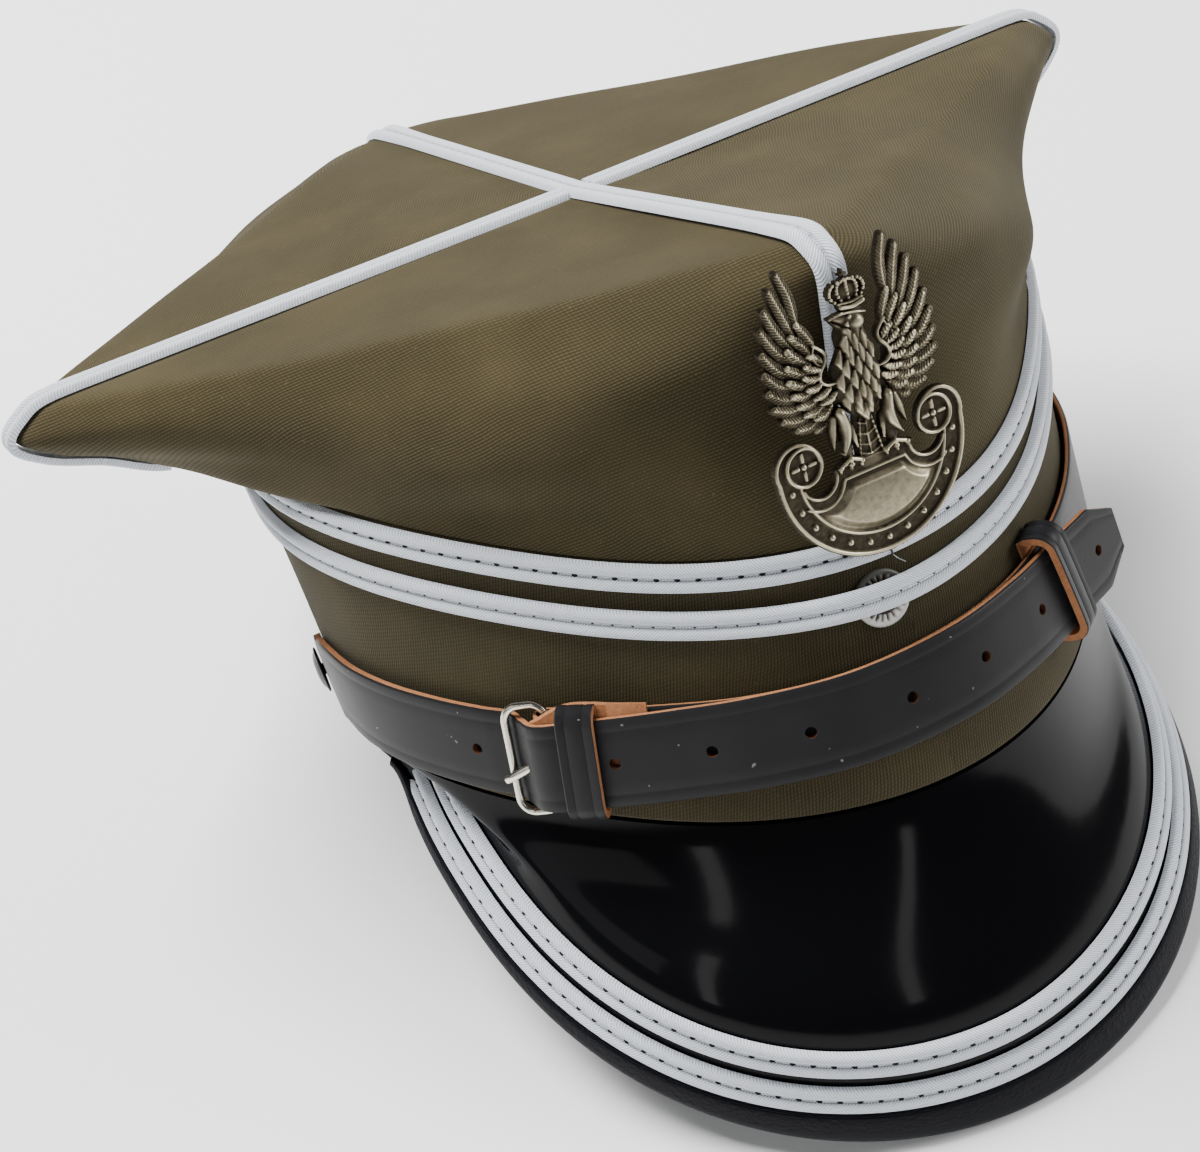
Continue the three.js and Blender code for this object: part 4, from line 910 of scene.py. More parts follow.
def make_long_strap():
    points = strap_line(LONG_STRAP, 16)
    from_tip = np.linalg.norm(points - points[-1], axis=1) / TIP_LENGTH
    obj, side, up = make_strap("strap_long", points, STRAP_THICK, 0.07, mix(TIP_WIDTH, 1.0, np.minimum(from_tip, 1)))
    cut_holes(obj, [frame_at(points, side, up, angle) for angle in STRAP_HOLES], STRAP_HOLE, 5)


def buckle_point(run, level, lift):
    """Point at a run along the strap from the buckle's heel."""
    heel = BUCKLE["heel_angle"] * DEG
    radius = BAND_RADIUS * series(BAND_OVAL, heel) + lift
    return band_point(heel + run / radius, level + BUCKLE["slope"] * run, lift)


def make_short_strap():
    heel, level = BUCKLE["heel_lift"], BUCKLE["level"]
    flat = strap_line(SHORT_STRAP, 12, STRAP_THICK / 2 - 0.05)
    bend = [buckle_point(-FOLD_RADIUS * math.sin(t), level, heel - FOLD_RADIUS * math.cos(t))
            for t in np.linspace(0, math.pi, 21)]
    knots = [bend[-1]] + [buckle_point(row["run"], level + row["rise"], row["lift"]) for row in FOLD]
    fold = spline(knots, 41)[1:]
    points = np.vstack([flat, bend, fold])
    # The flesh side swells behind the buckle, then the end is pared thin.
    share = np.linspace(0, 1, len(fold))
    thin = np.ones(len(points))
    thin[-len(fold):] = mix(1 + 0.9 * smoothstep(share / 0.15), FOLD_END, smoothstep((share - 0.2) / 0.8))
    make_strap("strap_short", points, FOLD_THICK, 0, 1.0, thin, reverse=True)


def round_section(wide, thick, sides):
    turns = (np.arange(sides) + 0.5) / sides * TURN
    return [(wide * math.cos(t), thick * math.sin(t)) for t in turns]


def make_buckle_frame():
    length, corner, wire = BUCKLE["length"], BUCKLE["corner"], BUCKLE["wire"]
    points = []
    for i, (run, way) in enumerate(((0, 1), (-length, 1), (-length, -1), (0, -1))):
        centre = (-corner if run == 0 else run + corner, way * (BUCKLE["height"] / 2 - corner))
        for t in (i + np.linspace(0, 1, 12)) * TURN / 4:
            x, y = centre[0] + corner * math.cos(t), centre[1] + corner * math.sin(t)
            lift = mix(BUCKLE["heel_lift"], BUCKLE["bar_lift"], -x / length)
            points.append(buckle_point(x, BUCKLE["level"] + y, lift))
    points = np.array(points)
    loft_along("buckle_frame", points, band_normal(band_angle(points), BUCKLE["level"]),
               round_section(wire, wire, 16), ["nickel"], "nickel", closed=True, sharp=80)


def make_buckle_tongue():
    heel, length = BUCKLE["heel_lift"], BUCKLE["length"]
    hook = BUCKLE["wire"] + GAP + TONGUE_THICK
    over = BUCKLE["bar_lift"] + BUCKLE["wire"] + GAP / 2 + TONGUE_THICK
    around = [buckle_point(-hook * math.sin(t), TONGUE_LEVEL, heel - hook * math.cos(t))
              for t in np.linspace(-200, 80, 24) * DEG]
    reach = [buckle_point(run, TONGUE_LEVEL + TONGUE_RISE * (run + 2), lift)
             for run, lift in ((-4.4, 5.35), (-length, over), (-length - 1.5, over))]
    points = np.vstack([around, spline([around[-1]] + reach, 28)[1:]])
    section = round_section(TONGUE_WIDTH, TONGUE_THICK, 16)
    loft("buckle_tongue", sweep(points, *strap_frames(points), section), ["nickel"], "nickel")


def make_keeper(k):
    """Leather loop round the strap; two creases run round its outer face."""
    corner, small = KEEPER_CORNER, KEEPER_INNER_CORNER
    wide, low = (k["inside"] + KEEPER_FRONT) / 2, k["lift"] + KEEPER_BACK / 2
    high = k["front"] + KEEPER_FRONT / 2
    path = []
    for x, y, start, radius in ((wide - corner, high - corner, 0, corner), (corner - wide, high - corner, 90, corner),
                                (small - wide, low + small, 180, small), (wide - small, low + small, 270, small)):
        path += [(x + radius * math.cos(t), y + radius * math.sin(t), 0)
                 for t in np.linspace(start, start + 90, 7) * DEG]
    dense = spline(path, 160, closed=True)
    off = turn_matrix("Z", k["lean"]) @ band_normal(k["angle"] * DEG, k["level"])
    around = unit(np.cross((0, 0, 1), off))
    slant = k["slant"] * DEG
    around = around * math.cos(slant) + np.cross(off, around) * math.sin(slant)
    upward = unit(np.cross(off, around))
    origin = band_point(k["angle"] * DEG, k["level"])
    edge = k["width"] / 2
    loops = []
    for i, p in enumerate(dense):
        ahead = unit(dense[(i + 1) % len(dense)] - dense[i - 1])
        out = np.array([ahead[1], -ahead[0]])
        if out @ (p[:2] - np.array([0, (k["lift"] + k["front"]) / 2])) < 0:
            out = -out
        thick = mix(KEEPER_BACK, KEEPER_FRONT, smoothstep((p[1] - k["lift"] - 0.5) / 1.5)) / 2
        section = [(-edge, -thick), (edge, -thick), (edge, thick - 0.2), (edge - 0.2, thick)]
        for c in (edge * 0.48, -edge * 0.48):
            section += [(c + 0.35, thick), (c, thick - 0.16), (c - 0.35, thick)]
        section += [(-edge + 0.2, thick), (-edge, thick - 0.2)]
        base, direction = origin + upward * p[0] + off * p[1], upward * out[0] + off * out[1]
        loops.append([base + around * a + direction * b for a, b in section])
    loft(k["name"], loops, ["strap", "tan"], "strap_leather", closed=True,
         kinds=[1, 1] + [0] * (len(section) - 3) + [1], sharp=40)


def make_button(name, angle):
    """Low dome with a short neck through the strap's end."""
    profile = [(0.001, -0.8), (1.3, -0.8), (1.3, 1.15), (4.2, 1.2), (4.8, 1.3), (4.9, 1.5), (4.8, 1.68), (4.6, 1.75),
               (4.4, 1.72), (4.1, 1.85), (3.5, 2.2), (2.6, 2.5), (1.4, 2.67), (0.001, 2.7)]
    line = strap_line(LONG_STRAP if angle < 0 else SHORT_STRAP, 24)
    p, s, n = frame_at(line, *strap_frames(line, reverse=angle > 0), angle)
    around = s * np.cos(round_turns(48))[:, None] + np.cross(n, s) * np.sin(round_turns(48))[:, None]
    loops = [p + around * max(r, 0.001) + n * y for r, y, _ in spline([(r, y, 0) for r, y in profile], 60)]
    loft(name, loops, ["lacquer"], "black_lacquer")


# ---------------------------------------------------------------- badge

BADGE_STEP = 0.14
SHEET = 1.1
SHIELD_V, SHIELD_R = 19.8, 19.2
RING_R, INNER_RING_R, STUD_R, STUD_COUNT = 18.8, 15.1, 16.9, 13
# Circles of the shield's scrolled ends: middle across, middle up, radius.
VOLUTE, HORN, CUT, SCALLOP = (13.5, 21.4, 3.8), (14.65, 21.3, 4.8), (11.1, 18.1, 3.15), (11.2, 17.5, 5.0)
FEATHER = "root_u root_v middle_u middle_v tip_u tip_v"
PRIMARIES = table(
    FEATHER,
    (9.0, 45.6, 9.3, 51.0, 10.6, 55.3), (9.8, 43.6, 11.6, 49.6, 12.7, 53.0), (10.6, 41.8, 13.2, 46.6, 14.4, 50.0),
    (11.2, 39.8, 14.0, 43.2, 15.8, 46.9), (11.4, 37.4, 14.4, 39.8, 16.5, 43.0), (11.4, 35.4, 14.6, 36.8, 16.9, 39.5),
    (11.0, 33.6, 14.2, 34.2, 16.8, 36.1), (10.2, 32.0, 13.6, 31.8, 16.5, 33.0), (9.2, 30.6, 12.4, 29.6, 15.2, 30.4),
    (7.8, 29.4, 10.6, 27.8, 13.0, 28.0), (6.4, 28.6, 8.0, 27.0, 9.4, 26.7))
COVERTS = table(
    FEATHER,
    (6.9, 41.4, 7.9, 43.8, 9.2, 46.0), (7.6, 40.0, 9.0, 42.2, 10.7, 44.3), (8.2, 38.6, 10.2, 40.2, 11.9, 42.1),
    (8.6, 37.2, 10.8, 37.8, 12.5, 39.3), (8.6, 35.8, 10.8, 35.6, 12.8, 36.8), (8.2, 34.4, 10.6, 33.6, 12.6, 34.2),
    (7.6, 33.0, 9.8, 31.8, 11.9, 32.1), (6.8, 31.6, 8.8, 30.2, 10.9, 30.2), (5.8, 30.4, 7.6, 29.0, 9.2, 29.0))
SMALL_COVERTS = table(
    FEATHER,
    (6.2, 38.4, 7.2, 39.4, 8.4, 40.1), (6.8, 37.2, 8.2, 37.6, 9.4, 38.5), (7.2, 36.0, 8.6, 35.9, 10.0, 36.7),
    (7.0, 34.8, 8.4, 34.2, 9.8, 34.5), (5.6, 33.4, 7.2, 32.6, 8.7, 32.5), (4.6, 32.4, 6.0, 31.4, 7.6, 31.2))
WING_ROWS = table(
    "feathers width base",
    (PRIMARIES, (0.5, 1.05, 1.1, 1.05, 0.78), 0.95), (COVERTS, (0.4, 0.85, 0.95, 0.9, 0.6), 1.45),
    (SMALL_COVERTS, (0.4, 0.75, 0.75, 0.5), 1.9))
BREAST_ROWS = table(
    "level pitch count",
    (25.4, 0.8, 1), (26.6, 2.1, 2), (28.2, 2.1, 4), (29.6, 2.5, 3), (31.8, 2.4, 4), (34.0, 2.3, 3), (36.0, 2.2, 4),
    (38.0, 1.9, 3), (40.2, 1.6, 2))


class Relief:
    """Heights over the badge's plane, raised one shape at a time, and the distance inside its outline."""

    def __init__(self):
        self.u = np.arange(-20.2, 20.2 + BADGE_STEP, BADGE_STEP)
        self.v = np.arange(0.2, 56.6, BADGE_STEP)
        self.grid_u, self.grid_v = np.meshgrid(self.u, self.v, indexing="ij")
        self.height = np.zeros_like(self.grid_u)
        self.field = np.full_like(self.grid_u, -9.0)

    def window(self, points, margin):
        low, high = np.min(points, 0) - margin, np.max(points, 0) + margin
        return tuple(slice(*np.searchsorted(line, (a, b)))
                     for line, a, b in ((self.u, low[0], high[0]), (self.v, low[1], high[1])))

    def lift(self, pick, inside, high, field):
        self.height[pick] = np.maximum(self.height[pick], np.where(inside > 0, high, 0))
        if field is not None:
            self.field[pick] = np.maximum(self.field[pick], field)

    def stroke(self, points, width, rise, base=SHEET, solid=True, shape=0.5, bend=0, barbs=0.0, quill=0.0):
        """Ridge along a line; width may be a list of widths along it, and bend is a count of curved steps."""
        points = np.asarray(points, float)
        if bend:
            points = spline(points, bend)
        widths = np.atleast_1d(width)
        pick = self.window(points, max(widths) + 0.4)
        u, v = self.grid_u[pick], self.grid_v[pick]
        run = run_along(points)
        best, along = np.full(u.shape, 1e9), np.zeros(u.shape)
        for a, b, start in zip(points[:-1], points[1:], run):
            d = b - a
            length = np.linalg.norm(d) + 1e-9
            t = np.clip(((u - a[0]) * d[0] + (v - a[1]) * d[1]) / length ** 2, 0, 1)
            far = np.hypot(u - a[0] - t * d[0], v - a[1] - t * d[1])
            along = np.where(far < best, start + t * length, along)
            best = np.minimum(best, far)
        wide = np.interp(along / run[-1], np.linspace(0, 1, len(widths)), widths)
        inside = np.clip(1 - (best / wide) ** 2, 0, 1)
        high = base + rise * inside ** shape + quill * bell(best, 0.16)
        high = high + barbs * np.sin((along - best * 0.9) * TURN / 0.64) * smoothstep(inside * 3)
        self.lift(pick, inside, high, wide - best if solid else None)

    def blob(self, u, v, half_u, half_v, rise, base=SHEET, solid=True, power=0.5):
        pick = self.window([(u, v)], max(half_u, half_v) + 0.4)
        x, y = (self.grid_u[pick] - u) / half_u, (self.grid_v[pick] - v) / half_v
        inside = np.clip(1 - x * x - y * y, 0, 1)
        field = (1 - np.hypot(x, y)) * min(half_u, half_v) if solid else None
        self.lift(pick, inside, base + rise * inside ** power, field)

    def strokes(self, points, *sizes, **options):
        """The same stroke on both sides of the middle."""
        for way in (-1, 1):
            self.stroke([(way * u, v) for u, v in points], *sizes, **options)

    def blobs(self, u, *sizes, **options):
        for way in (-1, 1):
            self.blob(way * u, *sizes, **options)


def arc(circle, start, end, count, grow=0.0):
    """Points on a circle (middle across, middle up, radius), from start to end degrees."""
    u, v, radius = circle
    return [(u + (radius + grow) * math.cos(t), v + (radius + grow) * math.sin(t))
            for t in np.linspace(start, end, count) * DEG]


def relief_shield(r):
    """Crescent shield: studded rim between two rings, volutes on its horns and a smooth domed field."""
    u, v = r.grid_u, r.grid_v
    side = np.abs(u)

    def within(circle):
        return circle[2] - np.hypot(side - circle[0], v - circle[1])

    disc = SHIELD_R - np.hypot(u, v - SHIELD_V)
    over = np.maximum.reduce([CUT[0] - CUT[2] - side, side - CUT[0] - CUT[2], CUT[1] - v])
    above = np.maximum(side - CUT[0], 18.9 - v)
    shield = np.minimum.reduce([disc, -within(CUT), over, above, SHIELD_V + 1.5 - v])
    r.field = np.maximum.reduce([shield, within(VOLUTE), np.where(v > SHIELD_V - 1, within(HORN), -9)])
    stipple = 0.04 * np.sin(u * 9.1 + 3 * np.sin(v * 7.3)) * np.sin(v * 8.7 + 2 * np.sin(u * 6.1))
    r.height = np.where(r.field > -0.3, 1.15 + stipple, 0)
    domed = np.clip(1 - (u / 13.6) ** 2 - ((v - 11.4) / 6.3) ** 2, 0, 1)
    rise = np.ones_like(u)
    for room in (INNER_RING_R - 0.8 - np.hypot(u, v - SHIELD_V), 15.7 - v, -within(SCALLOP) - 0.4):
        rise = rise * smoothstep(room / 1.5)
    r.height = np.where(rise > 0, 1.15 + rise * (0.2 + 1.2 * domed ** 0.6), r.height)
    ends = math.asin((SHIELD_V - 18.2) / INNER_RING_R) / DEG
    r.stroke(arc((0, SHIELD_V, RING_R), 180, 360, 120), 0.48, 0.75)
    r.stroke(arc((0, SHIELD_V, INNER_RING_R), 180 + ends, 360 - ends, 100), 0.34, 0.65, solid=False)
    for stud in arc((0, SHIELD_V, STUD_R), -172, -8, STUD_COUNT):
        r.blob(*stud, 0.62, 0.62, 0.75, solid=False)
    r.strokes(arc(VOLUTE, 0, 360, 60, -0.38), 0.42, 0.85, solid=False)
    r.strokes(arc(HORN, -20, 175, 50, -0.4), 0.46, 0.75, solid=False)
    r.strokes(arc(CUT, 172, 342, 40, 0.4), 0.34, 0.65, solid=False)
    r.strokes([(6.2, 16.3)] + arc(SCALLOP, 200, 309, 40), 0.32, 0.65, solid=False)
    for turn in (0, 90, 180, 270):
        r.strokes([arc(VOLUTE, turn, turn, 1, d - VOLUTE[2])[0] for d in (1.15, 2.3)], 0.42, 0.6, solid=False)
    r.blobs(VOLUTE[0], VOLUTE[1], 0.62, 0.62, 0.8, solid=False)
    r.stroke([(-6.2, 16.3), (6.2, 16.3)], 0.32, 0.65, solid=False)
    r.stroke([(-8.0, 18.6), (8.0, 18.6)], 0.3, 0.5)


def relief_wings(r):
    for row in WING_ROWS:
        for f in row["feathers"]:
            path = [(f[part + "_u"], f[part + "_v"]) for part in ("root", "middle", "tip")]
            r.strokes(path, row["width"], 0.5, row["base"], bend=11, barbs=0.11, quill=0.2, shape=0.42)
    shoulder = ((7.2, 41.6), (5.4, 39.6), (5.7, 38.1), (6.9, 36.6), (7.1, 35.1), (6.1, 34.1), (4.4, 33.9))
    r.strokes(shoulder, (0.3, 0.42, 0.42, 0.36, 0.3), 0.85, 1.7, bend=30)
    r.strokes(((7.0, 41.6), (7.7, 39.7), (6.9, 38.0), (5.9, 37.9)), 0.2, 0.5, 1.9, bend=16, solid=False)
    inner_web = ((7.6, 41.5), (9.2, 38.6), (9.0, 35.2), (7.4, 32.6), (5.0, 31.0))
    r.strokes(inner_web, (1.2, 2.6, 3.0, 2.4, 1.6), 0.3, 1.05, bend=24)
    outer_web = ((10.0, 47.6), (12.6, 43.2), (13.6, 38.0), (12.6, 33.0), (8.6, 29.6))
    r.strokes(outer_web, (0.7, 2.1, 2.5, 2.2, 1.4), 0.15, 0.75, bend=24)


def relief_body(r):
    """Breast and its feathers, tail, legs and claws."""
    r.blob(0, 33.6, 4.9, 7.4, 1.7, 1.3)
    r.blob(0.2, 40.0, 3.1, 4.6, 1.5, 1.3)
    for row in BREAST_ROWS:
        v = row["level"]
        for k in range(row["count"]):
            u = (k - (row["count"] - 1) / 2) * row["pitch"] + (0.3 if v > 36 else 0.0)
            base = 1.55 + 1.2 * max(1 - ((v - 33) / 11) ** 2, 0) - 0.05 * u * u + (v - 25) * 0.035
            r.stroke([(u * 0.86, v + 3.3), (u * 0.95, v + 1.8), (u, v)], (0.4, 1.1, 0.95, 0.08), 0.75, base,
                     bend=7, quill=0.12, shape=0.8, solid=False)
    r.stroke([(-0.2, 27.5), (-0.2, 19.0)], (1.9, 2.9), 0.4)
    for top, foot in ((-1.2, -2.5), (-0.1, -0.3), (1.1, 2.1)):
        r.stroke([(top, 26.0), (foot, 19.2)], 0.14, 0.35, 1.7, solid=False)
    for v in (25.4, 23.4, 21.5, 19.8):
        for way in (-1, 1):
            r.stroke([(-0.2, v - 0.7), (-0.2 + way * (1.35 + (26 - v) * 0.16), v)], 0.12, 0.3, 1.65, solid=False)
    r.strokes(((4.9, 28.4), (4.5, 25.6), (4.9, 23.4), (6.0, 21.2)), (1.0, 1.25, 1.0, 0.12), 1.3, 2.0, bend=16,
              shape=0.7)
    r.strokes(((6.2, 27.8), (6.9, 25.2), (7.5, 22.5)), (0.8, 0.85, 0.12), 0.9, 1.6, bend=12, shape=0.7)
    r.strokes(((3.4, 25.2), (3.0, 23.2), (2.7, 21.2)), (0.7, 0.55, 0.12), 0.7, 1.6, bend=12)
    r.strokes(((4.7, 23), (4.6, 19.6)), (1.4, 0.8), 0.7, 1.3)
    for toe in (2.5, 4.7, 6.9):
        r.strokes(((4.6, 19.9), (toe, 18.9)), 0.42, 0.9, 1.7)
        r.blobs(toe, 18.8, 0.55, 0.5, 1.1, 1.7, solid=False)
        r.strokes(((toe, 18.6), (toe + 0.15, 17.8)), (0.34, 0.12), 0.8, 1.6, solid=False)
    r.strokes(((6.9, 19.2), (8.4, 18.7)), (0.3, 0.12), 0.7, 1.6, solid=False)


def relief_head(r):
    """Head turned to its right, with a hooked beak, under an arched crown."""
    for top, foot, end in ((-1.6, -1.9, 38.4), (-0.3, -0.5, 38.6), (0.9, 1.0, 37.6), (2.2, 2.6, 38.4)):
        r.stroke([(top * 0.8 + 0.4, 42.6), (foot, end)], (0.5, 0.8, 0.15), 0.7, 2.4, quill=0.14, shape=0.8)
    r.blob(1.1, 44.2, 2.5, 2.4, 1.5, 1.9)
    r.blob(1.5, 43.2, 1.6, 1.5, 0.9, 2.9, solid=False, power=0.7)
    r.stroke([(0.2, 44.6), (-1.6, 44.6), (-3.6, 45.2)], (1.5, 1.1, 0.3), 0.9, 2.2, bend=12)
    r.stroke([(0.0, 42.8), (-1.6, 43.6), (-3.2, 44.6)], (1.1, 0.8, 0.2), 0.8, 2.1, bend=10)
    pick = r.window([(-3.0, 42.4), (-0.2, 44.8)], 0.2)
    slit = (r.grid_u[pick] + 0.5) * 0.6 + (r.grid_v[pick] - 42.7) * 0.8
    r.height[pick] -= 0.55 * bell(slit, 0.2) * (r.grid_u[pick] > -3.2) * (r.height[pick] > 2)
    r.stroke([(-3.7, 45.2), (-1.4, 45.5), (1.2, 45.1), (3.3, 44.5)], (0.16, 0.3, 0.34, 0.2), 0.7, 3.0, bend=16)
    r.blob(0.2, 44.5, 0.42, 0.42, 0.5, 3.2, solid=False)
    r.blob(1.0, 48.6, 3.3, 2.4, 0.9, 2.0)
    r.stroke([(-1.1, 46.5), (1.2, 46.1), (3.4, 46.5)], (0.42, 0.5, 0.42), 0.9, 2.9, bend=14)
    r.stroke([(-1.2, 47.2), (1.2, 46.9), (3.4, 47.2)], (0.2, 0.25, 0.2), 0.7, 2.9, bend=14, solid=False)
    for top in (-2.6, -1.0, 1.0, 3.0, 4.3):
        arch = spline([(1.0 + (top - 1.0) * 0.6, 46.9), (top, 48.9), (top * 0.8 + 0.2, 50.4), (1.0, 51.0)], 60)
        for u, v in arch[::7]:
            r.blob(u, v, 0.36, 0.36, 0.65, 2.7)
        r.stroke(arch[::6], 0.16, 0.45, 2.6, solid=False)
    r.stroke([(1.0, 51.0), (1.0, 52.5)], 0.26, 0.7, 2.2)
    r.stroke([(0.4, 51.8), (1.6, 51.8)], 0.26, 0.7, 2.2)


def blurred(values, cells):
    """Three box averages over a grid, in each direction."""
    wide = 2 * cells + 1
    for axis in (0, 1, 0, 1, 0, 1):
        pad = [(cells + 1, cells) if a == axis else (0, 0) for a in (0, 1)]
        total = np.moveaxis(np.cumsum(np.pad(values, pad, "edge"), axis), axis, 0)
        values = np.moveaxis((total[wide:] - total[:-wide]) / wide, 0, axis)
    return values


def corners(grid):
    """The four corner values of each cell of a grid, in turn round it."""
    return [grid[:-1, :-1], grid[1:, :-1], grid[1:, 1:], grid[:-1, 1:]]


def badge_values(r):
    """Final heights, their local mean for the sheet's back, and the cavity value."""
    inside = r.field > 0
    height = np.where(inside, np.maximum(r.height, 0.7), 0)
    mean = blurred(height, 5) / (blurred(inside.astype(float), 5) + 1e-6)
    cavity = np.clip(0.46 + (height - mean) * 1.05, 0, 1)
    cavity = np.where((height > 1.05) & (height < 1.3), np.minimum(cavity, 0.3), cavity)
    bowl = np.clip(1 - (r.grid_u / 12.6) ** 2 - ((r.grid_v - 10.6) / 5.4) ** 2, 0, 1)
    polished = (r.grid_v < 15.2) & (bowl > 0)
    cavity = np.where(polished, np.maximum(cavity, 0.3 + 0.34 * smoothstep(bowl * 2.5)), cavity)
    spread = height.copy()
    for axis in (0, 1):
        for way in (-1, 1):
            spread = np.maximum(spread, np.where(inside, height, np.roll(height, way, axis)))
    return np.where(inside, height, np.maximum(spread, 0.7)), mean, cavity


def make_badge():
    r = Relief()
    for raise_part in (relief_shield, relief_wings, relief_body, relief_head):
        raise_part(r)
    height, mean, cavity = badge_values(r)
    # Points next to the outline are moved onto it.
    slope_u, slope_v = np.gradient(r.field, BADGE_STEP)
    near = np.abs(r.field) < BADGE_STEP * 0.75
    step = near * r.field / np.maximum(slope_u ** 2 + slope_v ** 2, 0.25)
    u, v = r.grid_u - step * slope_u, r.grid_v - step * slope_v
    cells = np.all(corners((r.field > 0) | near), 0) & np.any(corners(r.field > 0), 0)
    used = np.zeros(u.shape, bool)
    for view in corners(used):
        view |= cells
    index = np.full(u.shape, -1)
    index[used] = np.arange(used.sum())
    quads = np.stack([corner[cells] for corner in corners(index)], 1)
    lean = BADGE_LEAN * DEG
    axes = np.array([[1.0, 0, 0], [0, math.sin(lean), math.cos(lean)], [0, -math.cos(lean), math.sin(lean)]])
    front = np.array(BADGE_AT) + np.stack([u[used], v[used], height[used]], 1) @ axes
    # The sheet is stamped, about a millimetre thick; its back is one strip for each unbroken run of cells.
    back = np.array(BADGE_AT) + np.stack([u[used], v[used], np.maximum(mean[used] - 1.3, 0.15)], 1) @ axes
    count = len(front)
    strips = []
    for i, column in enumerate(cells):
        edges = np.flatnonzero(np.diff(np.concatenate([[0], column.astype(int), [0]])))
        strips += [(index[i, a], index[i, b], index[i + 1, b], index[i + 1, a])
                   for a, b in zip(edges[::2], edges[1::2])]
    sides = {tuple(side) for k in range(4) for side in quads[:, [k, (k + 1) % 4]].tolist()}
    walls = [(two, one, one + count, two + count) for one, two in sorted(sides) if (two, one) not in sides]
    faces = quads.tolist() + walls + (np.array(strips) + count).tolist()
    mesh = new_mesh("badge_relief", np.vstack([front, back]), faces, ["badge"])
    add_values(mesh, "cavity", np.append(cavity[used], np.full(count, 0.3)))
    add_piece("badge_relief", mesh, 65, "badge", "aged_silver", outward=False)


# ---------------------------------------------------------------- eyelet and thread

EYELET_RINGS = table(
    "radius high",
    (5.4, 0.0), (5.4, 0.35), (5.25, 0.6), (5.0, 0.75), (4.75, 0.78), (4.5, 0.72), (4.2, 0.85), (3.8, 0.98),
    (3.4, 0.98), (3.1, 0.85), (2.9, 0.6), (2.55, 0.5), (2.4, 0.75), (2.25, 1.15), (2.05, 1.3), (1.8, 1.3),
    (1.6, 1.1), (1.45, 0.7), (0.9, 0.62), (0.01, 0.6))
PLEATS, PLEAT_START, PLEAT_END = 20, 2.9, 4.5
THREADS = table(
    "name radius material places",
    ("braid_joint", 0.2, "lacquer", ((-0.75, 47.9, 2.0), (-0.75, 48.6, 2.4), (-0.85, 49.5, 2.15))),
    ("loose_thread", 0.07, "seam_braid", ((-0.6, 47.8, 2.0), (-0.25, 46.9, 2.2), (0.3, 45.9, 2.6))))


def make_eyelet():
    """Pleated disc on the band, partly under the lower braid; painted shade darkens its upper part, under the braid.
    """
    off = band_normal(EYELET_ANGLE * DEG, EYELET_LEVEL)
    across = unit(np.cross((0, 0, 1), off))
    turns = round_turns(240)
    around = across * np.cos(turns)[:, None] + np.cross(off, across) * np.sin(turns)[:, None]
    centre = band_point(EYELET_ANGLE * DEG, EYELET_LEVEL, GAP)
    wave = 0.5 + 0.5 * np.cos(PLEATS * turns + 0.8 * np.sin(3 * turns))
    uneven = 1 + 0.35 * np.sin(5 * turns + 0.7) * np.sin(2 * turns)
    loops, dark, painted_braid_shade = [], [], []
    for radius, high in (ring.values() for ring in EYELET_RINGS):
        hollow = 1 if radius < 1.5 or 2.35 < radius <= PLEAT_START else 0
        share = min(max((PLEAT_END - radius) / 0.5, 0), 1) if radius > PLEAT_START else 0
        gap = wave ** 1.6 * share * uneven
        loops.append(centre + radius * around + off * (high - 0.5 * gap)[:, None])
        dark.append(np.clip(np.maximum(gap, hollow), 0, 1))
        # Painted shade: darker towards the top of the disc, where the lower braid shades it.
        painted_braid_shade.append(smoothstep((radius * np.sin(turns) - 1.2) / 1.6))
    obj = loft("band_eyelet", loops, ["eyelet"], "aged_silver", cap=None, sharp=60, name="band_eyelet_disc")
    add_values(obj.data, "gap", np.concatenate(dark))
    add_values(obj.data, "painted_braid_shade", np.concatenate(painted_braid_shade))


def make_thread(name, radius, material, places):
    """Thin round thread through places (degrees, level, lift) on the band."""
    points = spline([band_point(degrees * DEG, level, lift) for degrees, level, lift in places], 24)
    loft_along(None, points, band_normal(band_angle(points), places[0][1]), round_section(radius, radius, 8),
               [material], "silver_braid", sharp=80, name=name)


# ---------------------------------------------------------------- making

make_band()
make_ring_braids()
make_crown()
make_seam_braids()
make_peak()
make_peak_braid("peak_braid_outer", BRAID_WIDTH / 2, PEAK_REACH["outer"], PEAK_REACH["outer"], 9.5)
make_peak_braid("peak_braid_inner", BRAID_WIDTH * 1.5 + PEAK_BRAID_GAP, PEAK_REACH["inner_left"],
                PEAK_REACH["inner_right"], 7.5)
make_edging()
make_long_strap()
make_short_strap()
make_buckle_frame()
make_buckle_tongue()
for keeper in KEEPERS:
    make_keeper(keeper)
for button in BUTTONS.items():
    make_button(*button)
make_badge()
make_eyelet()
# The upper braid's ends meet over the eyelet, with a loose thread.
for thread in THREADS:
    make_thread(**thread)


# ---------------------------------------------------------------- stage, light and camera

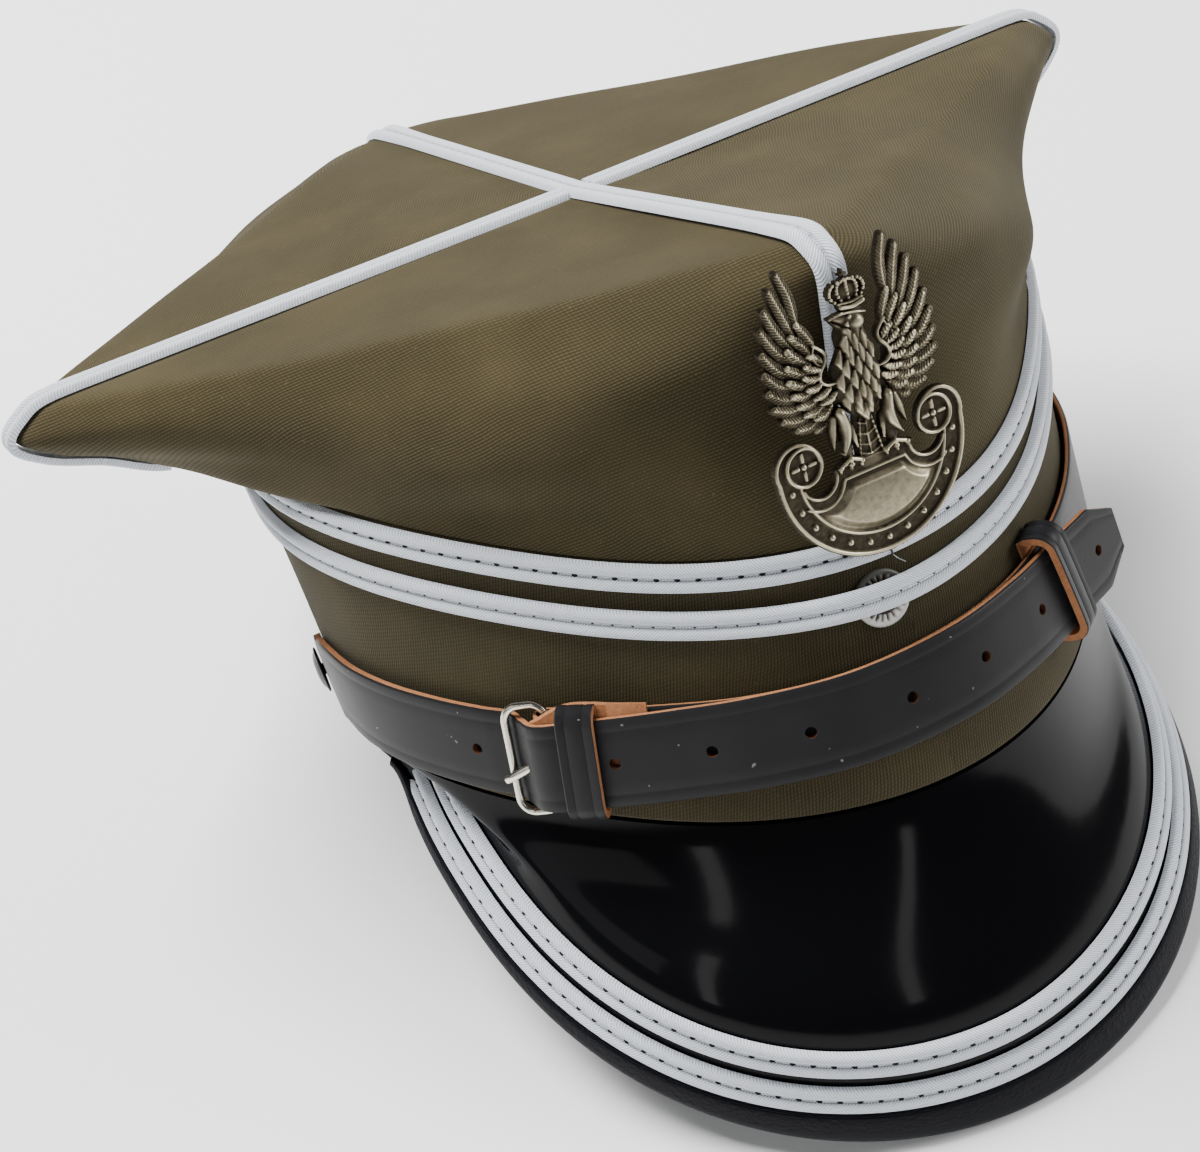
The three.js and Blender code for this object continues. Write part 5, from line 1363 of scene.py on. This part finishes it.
LIGHTS = table(
    "name place target size power mirrored",
    ("key", (1.15, -0.5, 0.75), 0.08, (0.8, 0.6), 19, True),
    ("top", (-0.35, 0.55, 1.25), 0.08, (0.9, 0.9), 62, False),
    ("front", (-0.7, -1.2, 0.7), 0.08, (0.9, 0.5), 3.5, False),
    ("strip_left", (-1.15, -0.75, 0.8), 0.05, (0.12, 1.1), 1.6, True),
    ("strip_front", (0.05, -1.45, 0.78), 0.05, (0.12, 0.8), 1.1, True),
    ("glow_left", (-2.0, 0.0, 1.05), 0.05, (1.4, 0.9), 4.0, True))
WORLD_COLOUR, WORLD_STRENGTH = (0.8, 0.84, 0.9, 1), 0.1
CAMERA_PLACE, CAMERA_LENS = (-201.25, -459.66, 247.28), 76.49
# The camera's turn from the cap's own frame: an axis whose length is the angle in radians.
CAMERA_TURN = Vector((1.9333, -0.6143, 0.0993))


def make_stage():
    bpy.ops.mesh.primitive_plane_add(size=12, location=(0, 0, 0))
    floor = bpy.context.object
    floor.name = "floor"
    floor.data.materials.append(Nodes("floor").set(Base_Color=(0.9, 0.9, 0.9), Roughness=0.9,
                                                   Specular_IOR_Level=0.1))


def make_lights():
    world = bpy.data.worlds.new("studio")
    world.use_nodes = True
    background = world.node_tree.nodes["Background"]
    background.inputs["Color"].default_value = WORLD_COLOUR
    background.inputs["Strength"].default_value = WORLD_STRENGTH
    bpy.context.scene.world = world
    for light in LIGHTS:
        data = bpy.data.lights.new(light["name"], "AREA")
        data.shape = "RECTANGLE"
        data.size, data.size_y = light["size"]
        data.energy = light["power"]
        obj = link(light["name"], data)
        obj.location = light["place"]
        aim = Vector((0, 0, light["target"])) - Vector(light["place"])
        obj.rotation_euler = aim.to_track_quat("-Z", "Y").to_euler()
        obj.visible_glossy = light["mirrored"]


def make_camera():
    """Long lens in front of the cap, above it and to its right hand side."""
    view = np.array(Matrix.Rotation(CAMERA_TURN.length, 3, CAMERA_TURN.normalized()))
    axes = np.stack([REST_TURN @ view[0], -(REST_TURN @ view[1]), -(REST_TURN @ view[2])], 1)
    data = bpy.data.cameras.new("camera")
    data.sensor_width = 36
    data.lens = CAMERA_LENS
    data.clip_start = 0.01
    obj = link("camera", data)
    obj.matrix_world = Matrix.Translation(Vector(place(CAMERA_PLACE))) @ Matrix(axes.tolist()).to_4x4()
    bpy.context.scene.camera = obj


make_stage()
make_lights()
make_camera()
